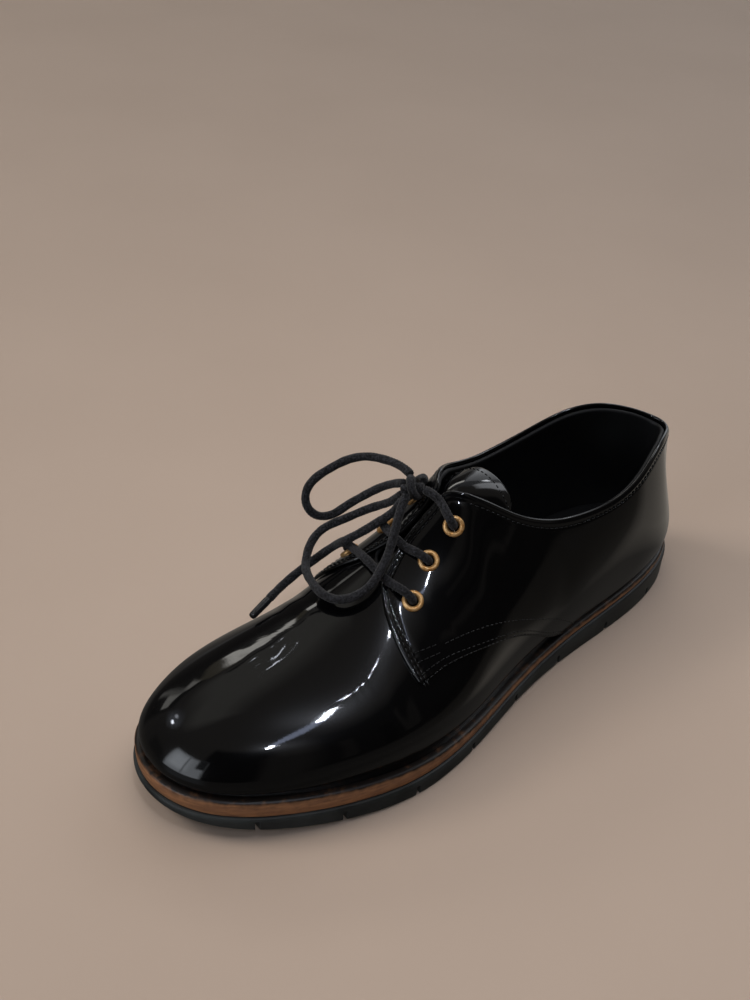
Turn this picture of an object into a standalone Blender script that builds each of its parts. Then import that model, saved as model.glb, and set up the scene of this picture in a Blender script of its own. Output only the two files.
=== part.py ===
"""Left derby-cut oxford shoe in patent leather, on a notched unit sole.

The last is described by short tables, a row for each section from heel to toe. One function, form(), turns
them into the outer face of the upper, and every leather piece is cut from it: the hollow upper, the two
quarters that lie on it, and the tongue below it. The sole is built in layers from one outline.

Lengths are in millimetres, and MM turns them into Blender's metres when a mesh is made.
While it is modelled the shoe has its heel's back edge at x = 0 and its toe along +X. The outer (lateral) side
of the foot is at +Y, and the ground is z = 0. in_row() moves the origin to the middle of the sole's outline.
"""

import math

import bmesh
import bpy
import numpy as np
from mathutils import Vector

MM = 0.001

# Driving sizes.
LENGTH = 265.0
WALL = 1.9  # leather and lining of the upper
GAP = 0.3  # between two pieces that touch
QUARTER_LIFT = 0.5  # the quarters' clearance over the upper
QUARTER_THICK = 1.1
WELT_SHOWS = 4.0  # how far the sole stands out round the upper
MIDSOLE_INSET = 1.1
INSOLE_THICK = 3.5
TONGUE_THICK = 2.2
TONGUE_BELOW = 1.2  # the tongue's clearance below the upper, which its own bends use up
STATIONS = 40  # faces of the upper from heel to toe
ROWS = 9  # faces of the upper from the sole to its top edge, closer together towards the top

# x, half-widths of the outsole to the outer and to the inner side.
OUTLINE = (
    (0.0, 0.0, 0.0),
    (2.6, 8.8, 9.0),
    (8.4, 16.4, 16.3),
    (26.5, 26.5, 26.3),
    (53.0, 32.0, 30.0),
    (85.0, 35.0, 28.0),
    (119.0, 41.2, 25.0),
    (152.0, 50.5, 29.0),
    (180.0, 54.5, 35.0),
    (206.0, 50.8, 37.0),
    (230.0, 42.3, 33.0),
    (248.0, 32.0, 25.5),
    (259.0, 20.5, 17.0),
    (LENGTH, 0.0, 0.0),
)

# x, height of the tread, of the joint between outsole and midsole, and of the midsole's top.
SOLE = (
    (0.0, 1.0, 13.2, 17.0),
    (10.0, 0.0, 13.1, 16.8),
    (40.0, 0.0, 12.6, 16.2),
    (80.0, 0.0, 10.9, 14.2),
    (115.0, 0.9, 9.1, 12.4),
    (150.0, 0.0, 8.2, 12.2),
    (180.0, 0.0, 8.9, 14.3),
    (210.0, 1.7, 10.2, 16.4),
    (240.0, 5.0, 12.0, 18.4),
    (LENGTH, 9.2, 13.8, 20.0),
)

# x, height of the last's ridge and its place to the side. Behind the throat the ridge is the last's own
# cone, which the top line cuts lower down.
RIDGE = (
    (0.0, 105.0, 0.0),
    (60.0, 105.0, 0.0),
    (100.0, 104.0, 0.0),
    (115.0, 101.0, 0.0),
    (125.0, 94.5, 0.0),
    (133.0, 88.0, 0.0),
    (140.0, 81.0, 0.0),
    (150.0, 72.5, 0.0),
    (161.0, 65.5, -0.3),
    (172.0, 60.0, -0.6),
    (185.0, 54.0, -0.9),
    (200.0, 49.4, -1.0),
    (215.0, 46.8, -1.0),
    (235.0, 45.2, -1.0),
    (LENGTH, 44.0, -1.0),
)

# Width of a section at four heights, as shares of the half-width at the sole: the foot of the wall, the
# wall, the shoulder and the crown. x, then those four on the outer side and on the inner side.
SECTIONS = (
    (4.0, 1.04, 0.87, 0.76, 0.33, 1.04, 0.87, 0.76, 0.33),
    (12.0, 1.09, 0.69, 0.76, 0.34, 1.09, 0.72, 0.76, 0.34),
    (25.0, 1.16, 0.90, 0.70, 0.28, 1.14, 0.93, 0.71, 0.28),
    (50.0, 1.08, 1.09, 0.81, 0.28, 1.12, 1.15, 0.89, 0.29),
    (80.0, 1.09, 1.05, 0.72, 0.24, 1.17, 1.22, 0.97, 0.26),
    (105.0, 1.07, 0.95, 0.54, 0.17, 1.20, 1.26, 0.97, 0.21),
    (125.0, 1.06, 0.93, 0.47, 0.12, 1.20, 1.23, 0.91, 0.18),
    (145.0, 1.05, 1.01, 0.53, 0.09, 1.15, 1.17, 0.86, 0.21),
    (165.0, 1.01, 1.08, 0.58, 0.08, 1.09, 1.07, 0.79, 0.26),
    (185.0, 0.99, 1.08, 0.73, 0.13, 1.03, 0.97, 0.64, 0.28),
    (210.0, 1.01, 1.05, 0.81, 0.25, 1.03, 0.97, 0.62, 0.29),
    (235.0, 1.04, 1.00, 0.80, 0.37, 1.03, 1.02, 0.72, 0.33),
    (261.0, 1.04, 0.98, 0.81, 0.43, 1.04, 0.98, 0.81, 0.43),
)
SECTION_HEIGHTS = (0.0, 0.16, 0.42, 0.76, 1.0, 1.0)  # from the sole to the ridge

# The sections turn about this stretch of the ridge to close round the heel and the toe.
TURN_HEEL, TURN_TOE, TURN_SOFT = 40.0, 198.0, 14.0

# x and height of the top line.
TOP_LINE = (
    (2.0, 70.5),
    (10.0, 71.5),
    (16.0, 74.0),
    (25.0, 77.0),
    (35.0, 78.2),
    (45.0, 76.6),
    (55.0, 73.4),
    (65.0, 71.0),
    (75.0, 70.0),
    (85.0, 70.0),
    (95.0, 71.0),
    (105.0, 73.8),
    (115.0, 78.6),
    (125.0, 84.8),
    (132.0, 88.0),
)

# x and half the gap between the two facings.
FACING_TOP, FACING_END = 131.0, 168.5
FACING = (
    (126.0, 9.0),
    (FACING_TOP, 5.4),
    (134.0, 2.3),
    (138.0, 1.0),
    (146.0, 0.7),
    (152.0, 1.2),
    (156.0, 2.4),
    (161.0, 4.6),
    (166.0, 7.0),
    (FACING_END, 8.8),
)

# x and height above the sole of the seam at the foot of a quarter, back from its front corner.
QUARTER_FOOT, QUARTER_TIP = 91.0, 174.6
QUARTER_SEAM = (
    (QUARTER_FOOT, 0.0),
    (98.0, 4.2),
    (115.0, 17.4),
    (134.0, 27.0),
    (150.0, 30.2),
    (162.0, 29.8),
    (QUARTER_TIP, 27.2),
)
QUARTER_FRONT_BOW = 2.8  # how far the front edge of a quarter bows towards the toe

# The upper's own edge, below the quarters. It closes across the ridge at THROAT.
UNDER = 2.2  # how far a quarter reaches past it
THROAT = 165.0

# The free end of the tongue. x, half its width, height at the middle, and how far its edges hang.
TONGUE_END = (
    (133.0, 16.0, 83.3, 20.4),
    (129.0, 16.0, 84.5, 18.2),
    (124.0, 16.0, 85.3, 14.8),
    (119.0, 16.0, 85.1, 12.0),
    (114.0, 15.6, 84.4, 8.6),
    (110.5, 14.6, 83.6, 5.8),
)
TONGUE_FROM, TONGUE_TO = 173.0, 136.0  # the stretch that follows the last

# x and distance from the middle of the three rows of eyelets, from the top one down.
EYELETS = ((137.3, 10.6), (149.6, 12.2), (161.6, 18.6))
EYELET_HOLE = 3.0  # radius of the hole in the leather
# Section of an eyelet: radius, and height above the quarter.
EYELET_SECTION = (
    (2.2, -2.8),
    (2.2, 0.6),
    (2.5, 1.1),
    (3.1, 1.3),
    (3.75, 1.0),
    (4.0, 0.4),
    (2.65, 0.4),
    (2.65, -2.8),
)

# The lace. Its routes are hand-placed points in the shoe's own axes.
LACE = 3.4  # diameter
KNOT = (143.0, -7.4, 85.8)
KNOT_AXIS = (0.62, -0.70, -0.28)
KNOT_SECTION = ((-4.6, 2.2), (-3.4, 3.8), (-2.0, 4.2), (-1.6, 5.0), (1.6, 5.0), (2.0, 4.2), (3.4, 3.8), (4.6, 2.2))
LOOP_A = (
    (140.2, -12.2, 87.9),
    (139.9, -18.4, 87.6),
    (141.8, -26.6, 86.7),
    (145.6, -33.5, 85.4),
    (151.4, -37.4, 83.7),
    (158.0, -39.3, 81.2),
    (164.0, -40.7, 77.9),
    (168.0, -40.4, 74.2),
    (169.4, -39.0, 70.0),
    (168.2, -37.4, 65.9),
    (164.7, -35.8, 63.0),
    (160.2, -33.9, 63.2),
    (155.5, -31.9, 66.4),
    (149.6, -29.6, 70.0),
    (144.4, -24.8, 75.4),
    (142.2, -18.0, 80.8),
    (142.4, -12.8, 84.3),
)
LOOP_B = (
    (148.3, -4.2, 86.7),
    (152.5, -2.0, 82.8),
    (156.6, 0.9, 78.8),
    (160.0, 3.4, 75.4),
    (163.8, 5.9, 72.0),
    (167.6, 7.6, 69.0),
    (171.3, 8.7, 66.0),
    (175.8, 8.7, 63.2),
    (180.6, 7.1, 61.0),
    (184.8, 3.6, 59.8),
    (186.8, -2.3, 59.2),
    (185.8, -10.2, 58.2),
    (182.7, -18.8, 56.4),
    (178.0, -25.4, 56.4),
    (173.6, -28.9, 58.4),
    (168.4, -30.4, 60.8),
    (163.4, -29.7, 62.6),
    (158.3, -28.2, 64.0),
    (153.0, -26.0, 66.2),
    (148.4, -22.8, 69.0),
    (145.8, -17.2, 73.8),
    (144.5, -11.2, 81.2),
)
END_A = (
    (147.4, -7.4, 81.9),
    (151.0, -7.8, 77.8),
    (156.6, -8.4, 75.4),
    (162.1, -11.5, 70.8),
    (167.0, -15.0, 66.5),
    (168.0, -22.0, 58.8),
    (171.2, -24.6, 54.8),
    (174.4, -26.3, 51.6),
    (178.4, -27.4, 48.8),
    (184.0, -27.8, 46.0),
    (190.6, -26.2, 44.8),
    (196.4, -23.8, 44.6),
)
END_B = (
    (136.8, -8.5, 85.4),
    (133.9, -12.0, 83.6),
    (131.2, -18.2, 77.6),
    (129.4, -23.4, 71.4),
    (128.4, -27.2, 64.0),
    (127.8, -29.4, 55.6),
    (127.6, -30.2, 47.2),
)
TIP_LENGTH = 10.5
TIP = 3.2  # diameter

# Grooves across the tread: x at the outer edge, x at the inner edge.
GROOVES = (
    (31.0, 31.0),
    (62.5, 62.0),
    (94.0, 93.0),
    (123.0, 123.0),
    (152.0, 154.0),
    (181.5, 185.0),
    (210.0, 216.0),
    (237.5, 246.0),
)
GROOVE_WIDE, GROOVE_DEEP = 2.4, 3.8

OUTER, INNER = 1, -1  # the two sides of the foot


# ------------------------------------------------------------------------------------------------ curves


def spline(at, value, where, closed=False):
    """A cubic spline through value at at, read at where. Both arrays of the spline run from end to end."""
    at, value, where = (np.asarray(a, float) for a in (at, value, where))
    step = np.diff(at)
    bend = np.zeros_like(value)
    count = len(at) - 1 if closed else len(at)
    rows = np.eye(count)
    right = np.zeros((count,) + value.shape[1:])
    for i in range(0 if closed else 1, count if closed else count - 1):
        before, after = (i - 1) % count, (i + 1) % count
        left, ahead = step[i - 1], step[i]
        rows[i, i] = 2 * (left + ahead)
        rows[i, before] = left
        rows[i, after] = ahead
        right[i] = 6 * ((value[after] - value[i]) / ahead - (value[i] - value[before]) / left)
    bend[:count] = np.linalg.solve(rows, right)
    if closed:
        bend[-1] = bend[0]
    i = np.clip(np.searchsorted(at, where, side="right") - 1, 0, len(at) - 2)
    shape = where.shape + (1,) * (value.ndim - 1)
    h = step[i].reshape(shape)
    b = ((where - at[i]) / step[i]).reshape(shape)
    a = 1 - b
    return a * value[i] + b * value[i + 1] + ((a**3 - a) * bend[i] + (b**3 - b) * bend[i + 1]) * h * h / 6


def column(table, x, index=1):
    """One column of a table at x, held at its end values outside it."""
    table = np.array(table)
    return spline(table[:, 0], table[:, index], np.clip(x, table[0, 0], table[-1, 0]))


def outline_curve(turn):
    """The outsole's edge. turn runs from the heel's back, 0, by the outer side and the toe, 0.5, to 1."""
    table = np.array(OUTLINE)
    points = np.vstack([table[:, [0, 1]], table[-2::-1, [0, 2]] * (1, -1)])
    along = np.concatenate([[0], np.cumsum(np.linalg.norm(np.diff(points, axis=0), axis=1))])
    toe, whole = along[len(table) - 1], along[-1]
    turn = np.asarray(turn, float) % 1
    at = np.where(turn <= 0.5, 2 * turn * toe, toe + (2 * turn - 1) * (whole - toe))
    return spline(along, points, at, closed=True)


def inset_curve(turn, inset):
    """The outsole's edge moved inwards."""
    small = 1e-4
    ahead = outline_curve(turn + small) - outline_curve(turn - small)
    inwards = np.stack([ahead[..., 1], -ahead[..., 0]], -1)
    return outline_curve(turn) + inset * inwards / np.linalg.norm(inwards, axis=-1, keepdims=True)


FINE = np.linspace(0, 1, 1201)
INSETS = {}


def edge_at(side, share, inset):
    """The inset edge on one side. share runs from heel, 0, to toe, 1, and both sides reach the same x."""
    if inset not in INSETS:
        curve = inset_curve(FINE / 2, inset), inset_curve(1 - FINE / 2, inset)
        INSETS[inset] = {OUTER: curve[0], INNER: curve[1]}
    curve = INSETS[inset][side]
    heel, toe = curve[0, 0], curve[-1, 0]
    x = heel + (toe - heel) * (1 - np.cos(math.pi * np.asarray(share, float))) / 2
    # Both ends turn square to X, so a place is read from its angle and not from x itself.
    angle = np.arccos(np.clip(1 - 2 * (curve[:, 0] - heel) / (toe - heel), -1, 1))
    y = np.interp(math.pi * np.asarray(share, float), angle, curve[:, 1])
    return np.stack([x, y], -1)


def share_of(x, inset=WELT_SHOWS):
    """The share at which the inset edge reaches x."""
    heel, toe = inset, LENGTH - inset
    return np.arccos(np.clip(1 - 2 * (np.asarray(x, float) - heel) / (toe - heel), -1, 1)) / math.pi


def section_weights(rise):
    """Weights of a section's six points at rise, from 0 at the sole to 1 at the ridge: a clamped B-spline."""
    degree = 3
    knots = [0.0] * degree + list(np.linspace(0, 1, len(SECTION_HEIGHTS) - degree + 1)) + [1.0] * degree
    rise = np.clip(np.asarray(rise, float), 0, 1 - 1e-9)
    weights = [((rise >= a) & (rise < b)).astype(float) for a, b in zip(knots, knots[1:])]
    for d in range(1, degree + 1):
        following = []
        for i in range(len(knots) - 1 - d):
            rising, falling = knots[i + d] - knots[i], knots[i + d + 1] - knots[i + 1]
            up = (rise - knots[i]) / rising * weights[i] if rising else 0
            down = (knots[i + d + 1] - rise) / falling * weights[i + 1] if falling else 0
            following.append(up + down)
        weights = following
    return np.stack(weights, -1)


def turning_x(x):
    """The place on the ridge that a section from x at the sole rises to."""

    def soft(length):
        return TURN_SOFT * np.logaddexp(0, length / TURN_SOFT)

    return TURN_HEEL + soft(x - TURN_HEEL) - soft(x - TURN_TOE)


def bare_form(side, share, rise):
    """The last's surface, with nothing added."""
    share, rise = np.broadcast_arrays(np.asarray(share, float), np.asarray(rise, float))
    foot = edge_at(side, share, WELT_SHOWS)
    first = 1 if side == OUTER else 5
    middle = [column(SECTIONS, foot[..., 0], first + i) for i in range(4)]
    widths = np.stack([np.ones_like(share)] + middle + [np.zeros_like(share)], -1)
    weights = section_weights(rise)
    width = (weights * widths).sum(-1)
    height = (weights * SECTION_HEIGHTS).sum(-1)
    centre_x = turning_x(foot[..., 0])
    centre_y = column(RIDGE, centre_x, 2)
    x = centre_x + (foot[..., 0] - centre_x) * width
    y = centre_y + (foot[..., 1] - centre_y) * width
    low = column(SOLE, x, 3) + GAP
    return np.stack([x, y, low + (column(RIDGE, x) - low) * height], -1)


def form(side, share, rise, out=0.0):
    """A point out from the last's surface. share runs from heel to toe, and rise from sole to ridge."""
    share, rise = np.broadcast_arrays(np.asarray(share, float), np.asarray(rise, float))
    points = bare_form(side, share, rise)
    small_share, small_rise, near_ridge = 5e-4, 4e-3, 0.97
    below = np.minimum(rise, near_ridge)
    along = bare_form(side, np.minimum(share + small_share, 1), below) - bare_form(
        side, np.maximum(share - small_share, 0), below
    )
    up = bare_form(side, share, below + small_rise) - bare_form(side, share, np.maximum(below - small_rise, 0))
    normal = side * np.cross(up, along)
    normal /= np.linalg.norm(normal, axis=-1, keepdims=True)
    # On the ridge both sides take the same normal, so that they meet.
    slope = column(RIDGE, points[..., 0] + 1) - column(RIDGE, points[..., 0] - 1)
    crest = np.stack([-slope / 2, np.zeros_like(slope), np.ones_like(slope)], -1)
    crest /= np.linalg.norm(crest, axis=-1, keepdims=True)
    blend = np.clip((rise - 0.86) / 0.14, 0, 1)[..., None]
    blend = blend * blend * (3 - 2 * blend)
    normal = normal * (1 - blend) + crest * blend
    # At the sole it is level, so that every layer ends on the midsole.
    normal[..., 2] *= np.clip(rise / 0.08, 0, 1)
    normal /= np.linalg.norm(normal, axis=-1, keepdims=True)
    return points + out * normal


def rise_where(side, share, reached):
    """The rise at which reached(points) first turns true, by halving."""
    low = np.zeros_like(np.asarray(share, float))
    high = np.ones_like(low)
    for _ in range(30):
        middle = (low + high) / 2
        yes = reached(bare_form(side, share, middle))
        low, high = np.where(yes, low, middle), np.where(yes, middle, high)
    return (low + high) / 2


def rise_at_height(side, share, height):
    return rise_where(side, share, lambda points: points[..., 2] >= height(points[..., 0]))


def rise_at_reach(side, share, reach):
    """The rise at which a section comes within reach of the ridge, measured sideways."""
    return rise_where(
        side,
        share,
        lambda points: side * (points[..., 1] - column(RIDGE, points[..., 0], 2)) <= reach(points[..., 0]),
    )


def top_edge(side, share, cover=0.0):
    """The rise of the shoe's upper edge: the top line behind the facings, then the facing's own edge."""
    share = np.asarray(share, float)
    collar = rise_at_height(side, share, lambda x: column(TOP_LINE, x, 1) - cover / 2)
    facing = rise_at_reach(side, share, lambda x: column(FACING, x, 1) + cover)
    x = edge_at(side, share, WELT_SHOWS)[..., 0]
    return np.where(x < FACING[0][0], collar, np.minimum(collar, facing))


# ---------------------------------------------------------------------------------------------- building


def clear_scene():
    for obj in list(bpy.data.objects):
        bpy.data.objects.remove(obj, do_unlink=True)


def outline_centre():
    """The middle of the outsole's box, which is the row's origin."""
    edge = outline_curve(FINE)
    return (edge.min(axis=0) + edge.max(axis=0)) / 2


CENTRE = outline_centre()


def in_row(points):
    """Millimetres in the shoe's own axes to metres about the row's origin."""
    points = np.asarray(points, float)
    return (points - (CENTRE[0], CENTRE[1], 0)) * MM


def material(name, colour, roughness, metallic=0.0):
    made = bpy.data.materials.get(name) or bpy.data.materials.new(name)
    made.use_nodes = True
    shader = made.node_tree.nodes["Principled BSDF"]
    shader.inputs["Base Color"].default_value = (*colour, 1)
    shader.inputs["Roughness"].default_value = roughness
    shader.inputs["Metallic"].default_value = metallic
    return made


def patent_black():
    return material("patent_black", (0.008, 0.008, 0.009), 0.08)


def lining_black():
    return material("lining_black", (0.012, 0.012, 0.013), 0.6)


def sole_black():
    return material("sole_black", (0.02, 0.022, 0.024), 0.55)


def welt_brown():
    return material("welt_brown", (0.21, 0.10, 0.05), 0.5)


def lace_black():
    return material("lace_black", (0.015, 0.015, 0.016), 0.8)


def brass():
    return material("brass", (0.72, 0.45, 0.14), 0.25, 1.0)


def add_object(name, mesh, finish, smooth_angle=35):
    obj = bpy.data.objects.new(name, mesh)
    bpy.context.scene.collection.objects.link(obj)
    mesh.materials.append(finish)
    mesh.shade_smooth()
    mesh.set_sharp_from_angle(angle=math.radians(smooth_angle))
    return obj


def mesh_from(name, points, faces):
    """A closed mesh from points in shoe millimetres, with points that fall together made one."""
    mesh = bpy.data.meshes.new(name)
    mesh.from_pydata([tuple(p) for p in in_row(points)], [], [tuple(f) for f in faces])
    edit = bmesh.new()
    edit.from_mesh(mesh)
    bmesh.ops.remove_doubles(edit, verts=edit.verts, dist=2e-6)
    bmesh.ops.recalc_face_normals(edit, faces=edit.faces)
    edit.to_mesh(mesh)
    edit.free()
    return mesh


def plate(name, inset_and_level, finish):
    """A layer of the sole. Each level is an inset and a function of x that gives its height."""
    shares = np.linspace(0, 1, STATIONS + 1)
    points, rings = [], []
    for inset, height in inset_and_level:
        ring = []
        for side, order in ((OUTER, shares), (INNER, shares[-2:0:-1])):
            edge = edge_at(side, order, inset)
            for x, y in edge:
                ring.append(len(points))
                points.append((x, y, float(height(np.array(x)))))
        rings.append(ring)
    faces = []
    count = len(rings[0])
    for low, high in zip(rings, rings[1:]):
        for i in range(count):
            j = (i + 1) % count
            faces.append((low[i], low[j], high[j], high[i]))
    for ring in (rings[0], rings[-1]):
        for i in range(STATIONS):
            a, b = ring[i], ring[i + 1]
            c, d = ring[(count - i - 1) % count], ring[(count - i) % count]
            faces.append((a, b, c, d) if 0 < i < STATIONS - 1 else tuple(dict.fromkeys((a, b, c, d))))
    return add_object(name, mesh_from(name, points, faces), finish)


def shell_from_grid(outer, inner):
    """Points and faces of a closed thin piece from two grids of the same size."""
    rows, columns = outer.shape[:2]
    points = np.concatenate([outer.reshape(-1, 3), inner.reshape(-1, 3)])
    index = np.arange(rows * columns).reshape(rows, columns)
    below = index + rows * columns
    faces = []
    for i in range(rows - 1):
        for j in range(columns - 1):
            faces.append((index[i, j], index[i + 1, j], index[i + 1, j + 1], index[i, j + 1]))
            faces.append((below[i, j], below[i, j + 1], below[i + 1, j + 1], below[i + 1, j]))
    rim = list(index[:, 0]) + list(index[-1, 1:]) + list(index[-2::-1, -1]) + list(index[0, -2:0:-1])
    for a, b in zip(rim, rim[1:] + rim[:1]):
        faces.append((a, b, b + rows * columns, a + rows * columns))
    return points, faces


def add_cutter(name, mesh):
    cutter = bpy.data.objects.new(name, mesh)
    bpy.context.scene.collection.objects.link(cutter)
    cutter.hide_render = True
    cutter.display_type = "WIRE"
    return cutter


def cut(target, cutter):
    """Subtracts a hidden cutter from a piece."""
    modifier = target.modifiers.new("cut_" + cutter.name, "BOOLEAN")
    modifier.operation = "DIFFERENCE"
    modifier.solver = "EXACT"
    modifier.object = cutter


# --------------------------------------------------------------------------------------------- the sole


def build_outsole():
    """Rubber unit sole: a tread with a low arch and a toe spring, and grooves that notch its side."""

    def tread(x):
        return np.maximum(column(SOLE, x, 1), 0)

    def joint(x):
        return column(SOLE, x, 2)

    levels = (
        (1.0, tread),
        (0.0, lambda x: tread(x) + 1.0),
        (0.0, lambda x: joint(x) - 1.2),
        (0.7, joint),
    )
    sole = plate("outsole", levels, sole_black())
    edit = bmesh.new()
    for outer_x, inner_x in GROOVES:
        half = GROOVE_WIDE / 2
        ends = []
        for x, y in ((outer_x, 75.0), (inner_x, -60.0)):
            roof = float(tread(np.array(x))) + GROOVE_DEEP
            ends.append([(x - half, y, -6.0), (x + half, y, -6.0), (x + half, y, roof), (x - half, y, roof)])
        corners = [edit.verts.new(tuple(p)) for p in in_row(ends[0] + ends[1])]
        a, b = corners[:4], corners[4:]
        edit.faces.new(a)
        edit.faces.new(b[::-1])
        for i in range(4):
            j = (i + 1) % 4
            edit.faces.new((a[j], a[i], b[i], b[j]))
    bmesh.ops.recalc_face_normals(edit, faces=edit.faces)
    mesh = bpy.data.meshes.new("groove_cutter")
    edit.to_mesh(mesh)
    edit.free()
    cut(sole, add_cutter("groove_cutter", mesh))


def build_midsole():
    """Brown midsole that shows as a band between the upper and the outsole."""

    def joint(x):
        return column(SOLE, x, 2) + GAP

    def top(x):
        return column(SOLE, x, 3)

    levels = (
        (MIDSOLE_INSET + 0.3, joint),
        (MIDSOLE_INSET, lambda x: joint(x) + 0.5),
        (MIDSOLE_INSET, lambda x: top(x) - 0.8),
        (MIDSOLE_INSET + 0.9, top),
    )
    plate("midsole", levels, welt_brown())


def build_insole():
    """Padded insole inside the upper, on the midsole."""
    inset = WELT_SHOWS + WALL + 1.0

    def floor(x):
        return column(SOLE, x, 3) + GAP

    levels = (
        (inset, floor),
        (inset, lambda x: floor(x) + INSOLE_THICK - 1.0),
        (inset + 1.2, lambda x: floor(x) + INSOLE_THICK),
    )
    plate("insole", levels, lining_black())


# -------------------------------------------------------------------------------------------- the upper


def station_shares():
    """The sections that the upper and the quarters share, closer together towards heel and toe."""
    even = np.linspace(0, 1, STATIONS + 1)
    share = (even + np.arccos(1 - 2 * even) / math.pi) / 2
    # One section falls on the foot of the throat.
    throat = int(np.argmin(abs(share - share_of(THROAT))))
    share[throat] = share_of(THROAT)
    return share, throat


def row_rises(side, shares):
    """Rises of the rows that the upper and the quarters share, up to the quarters' edge."""
    x = edge_at(side, shares, WELT_SHOWS)[..., 0]
    edge = top_edge(side, shares)
    beyond = np.clip((x - FACING_END) / 20.0, 0, 1)
    edge = np.where(x > FACING_END, edge + (1 - edge) * beyond, edge)
    return edge[:, None] * np.linspace(0, 1, ROWS + 1)[None, :] ** 0.85


def under_edge(side, shares):
    """The rise of the upper's own edge, which closes across the ridge at the throat."""
    x = edge_at(side, shares, WELT_SHOWS)[..., 0]
    edge = top_edge(side, shares, UNDER)
    closing = np.clip((x - (THROAT - 8.0)) / 8.0, 0, 1)
    return edge + (1 - edge) * closing**2


def build_upper():
    """The hollow upper, open at the collar, the throat and below, with one wall for vamp and back part."""
    shares, throat = station_shares()
    points, faces, grids = [], [], {}
    for side in (OUTER, INNER):
        rise = row_rises(side, shares)
        rise[:, -1] = under_edge(side, shares)
        for layer, out in (("out", 0.0), ("in", -WALL)):
            grid = form(side, shares[:, None], rise, out)
            grids[side, layer] = np.arange(len(points), len(points) + rise.size).reshape(rise.shape)
            points.extend(grid.reshape(-1, 3))
    # The two sides share the heel's back, the toe's front and the ridge from the throat on.
    for layer in ("out", "in"):
        ours, theirs = grids[OUTER, layer], grids[INNER, layer]
        theirs[0], theirs[-1] = ours[0], ours[-1]
        theirs[throat:, -1] = ours[throat:, -1]
        for side in (OUTER, INNER):
            grid = grids[side, layer]
            for i in range(STATIONS):
                for j in range(ROWS):
                    faces.append((grid[i, j], grid[i + 1, j], grid[i + 1, j + 1], grid[i, j + 1]))
    for side in (OUTER, INNER):
        out, within = grids[side, "out"], grids[side, "in"]
        for i in range(STATIONS):
            faces.append((out[i, 0], out[i + 1, 0], within[i + 1, 0], within[i, 0]))
            if i < throat:
                faces.append((out[i, -1], out[i + 1, -1], within[i + 1, -1], within[i, -1]))
    upper = add_object("upper", mesh_from("upper", points, faces), patent_black(), 50)
    for side in (OUTER, INNER):
        for row in range(len(EYELETS)):
            cut(upper, eyelet_cutter(side, row))


def vamp_cutter():
    """What a quarter leaves free of the vamp, seen from the side: below its seam and past its front edge."""
    if "vamp_cutter" in bpy.data.objects:
        return bpy.data.objects["vamp_cutter"]
    x = np.linspace(QUARTER_FOOT, QUARTER_TIP, 15)
    seam = column(SOLE, x, 3) + GAP + np.maximum(column(QUARTER_SEAM, x), 0)
    corner = np.array((FACING_END, float(column(RIDGE, FACING_END)) - 2.0))
    up = np.linspace(0, 1, 9)[1:, None]
    front = np.array((QUARTER_TIP, seam[-1])) * (1 - up) + corner * up
    front[:, 0] += QUARTER_FRONT_BOW * 4 * up[:, 0] * (1 - up[:, 0])
    outline = [(QUARTER_FOOT, -10.0), *zip(x, seam), *front, (FACING_END, 130.0), (300.0, 130.0), (300.0, -10.0)]
    count = len(outline)
    points = [(x, y, z) for y in (-90.0, 90.0) for x, z in outline]
    faces = [tuple(range(count)), tuple(range(2 * count - 1, count - 1, -1))]
    faces += [(i, (i + 1) % count, count + (i + 1) % count, count + i) for i in range(count)]
    return add_cutter("vamp_cutter", mesh_from("vamp_cutter", points, faces))


def build_quarter(side, name):
    """A quarter: it runs from the back seam to the facing and lies on the upper."""
    shares, throat = station_shares()
    shares = shares[: throat + 3].copy()
    shares[0] = 0.0013  # half the gap of the back seam
    rise = row_rises(side, shares)
    last = np.minimum(under_edge(side, shares), 0.985 * rise[:, -1])
    rise = np.insert(rise, ROWS, last, axis=1)
    outer = form(side, shares[:, None], rise, QUARTER_LIFT + QUARTER_THICK)
    inner = form(side, shares[:, None], rise, QUARTER_LIFT)
    points, faces = shell_from_grid(outer, inner)
    quarter = add_object(name, mesh_from(name, points, faces), patent_black())
    cut(quarter, vamp_cutter())
    for row in range(len(EYELETS)):
        cut(quarter, eyelet_cutter(side, row))


def build_tongue():
    """The tongue: it follows the last below the facings, and its free end leans back past the top line."""
    across = np.linspace(-1, 1, 9)
    outer, inner = [], []
    for x in np.linspace(TONGUE_FROM, TONGUE_TO, 7):
        reach = 14.0 + 3.0 * min(1.0, (TONGUE_FROM - x) / 14.0)
        line = []
        for place in across:
            side = OUTER if place >= 0 else INNER
            share = share_of(x)
            want = max(abs(place) * reach, 0.01)
            rise = rise_at_reach(side, share, lambda at, want=want: np.full_like(at, want))
            line.append([form(side, share, rise, -WALL - TONGUE_BELOW - depth) for depth in (0.0, TONGUE_THICK)])
        outer.append([point[0] for point in line])
        inner.append([point[1] for point in line])
    for x, reach, height, hang in TONGUE_END:
        y = across * reach
        z = height - hang * across**2
        normal = np.stack([0.12 + 0 * y, 2 * hang * across / reach, 1 + 0 * y], -1)
        normal /= np.linalg.norm(normal, axis=-1, keepdims=True)
        top = np.stack([x + 0 * y, y, z], -1)
        outer.append(top)
        inner.append(top - TONGUE_THICK * normal)
    points, faces = shell_from_grid(np.array(outer), np.array(inner))
    add_object("tongue", mesh_from("tongue", points, faces), patent_black())


# --------------------------------------------------------------------------------------------- eyelets


def eyelet_place(side, row):
    """Where an eyelet stands on the quarter, and the way out of the leather there."""
    x, reach = EYELETS[row]
    share = share_of(x)
    rise = rise_at_reach(side, share, lambda at: np.full_like(at, reach))
    skin = form(side, share, rise, QUARTER_LIFT + QUARTER_THICK)
    outwards = skin - form(side, share, rise, 0.0)
    return skin, outwards / np.linalg.norm(outwards)


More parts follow.
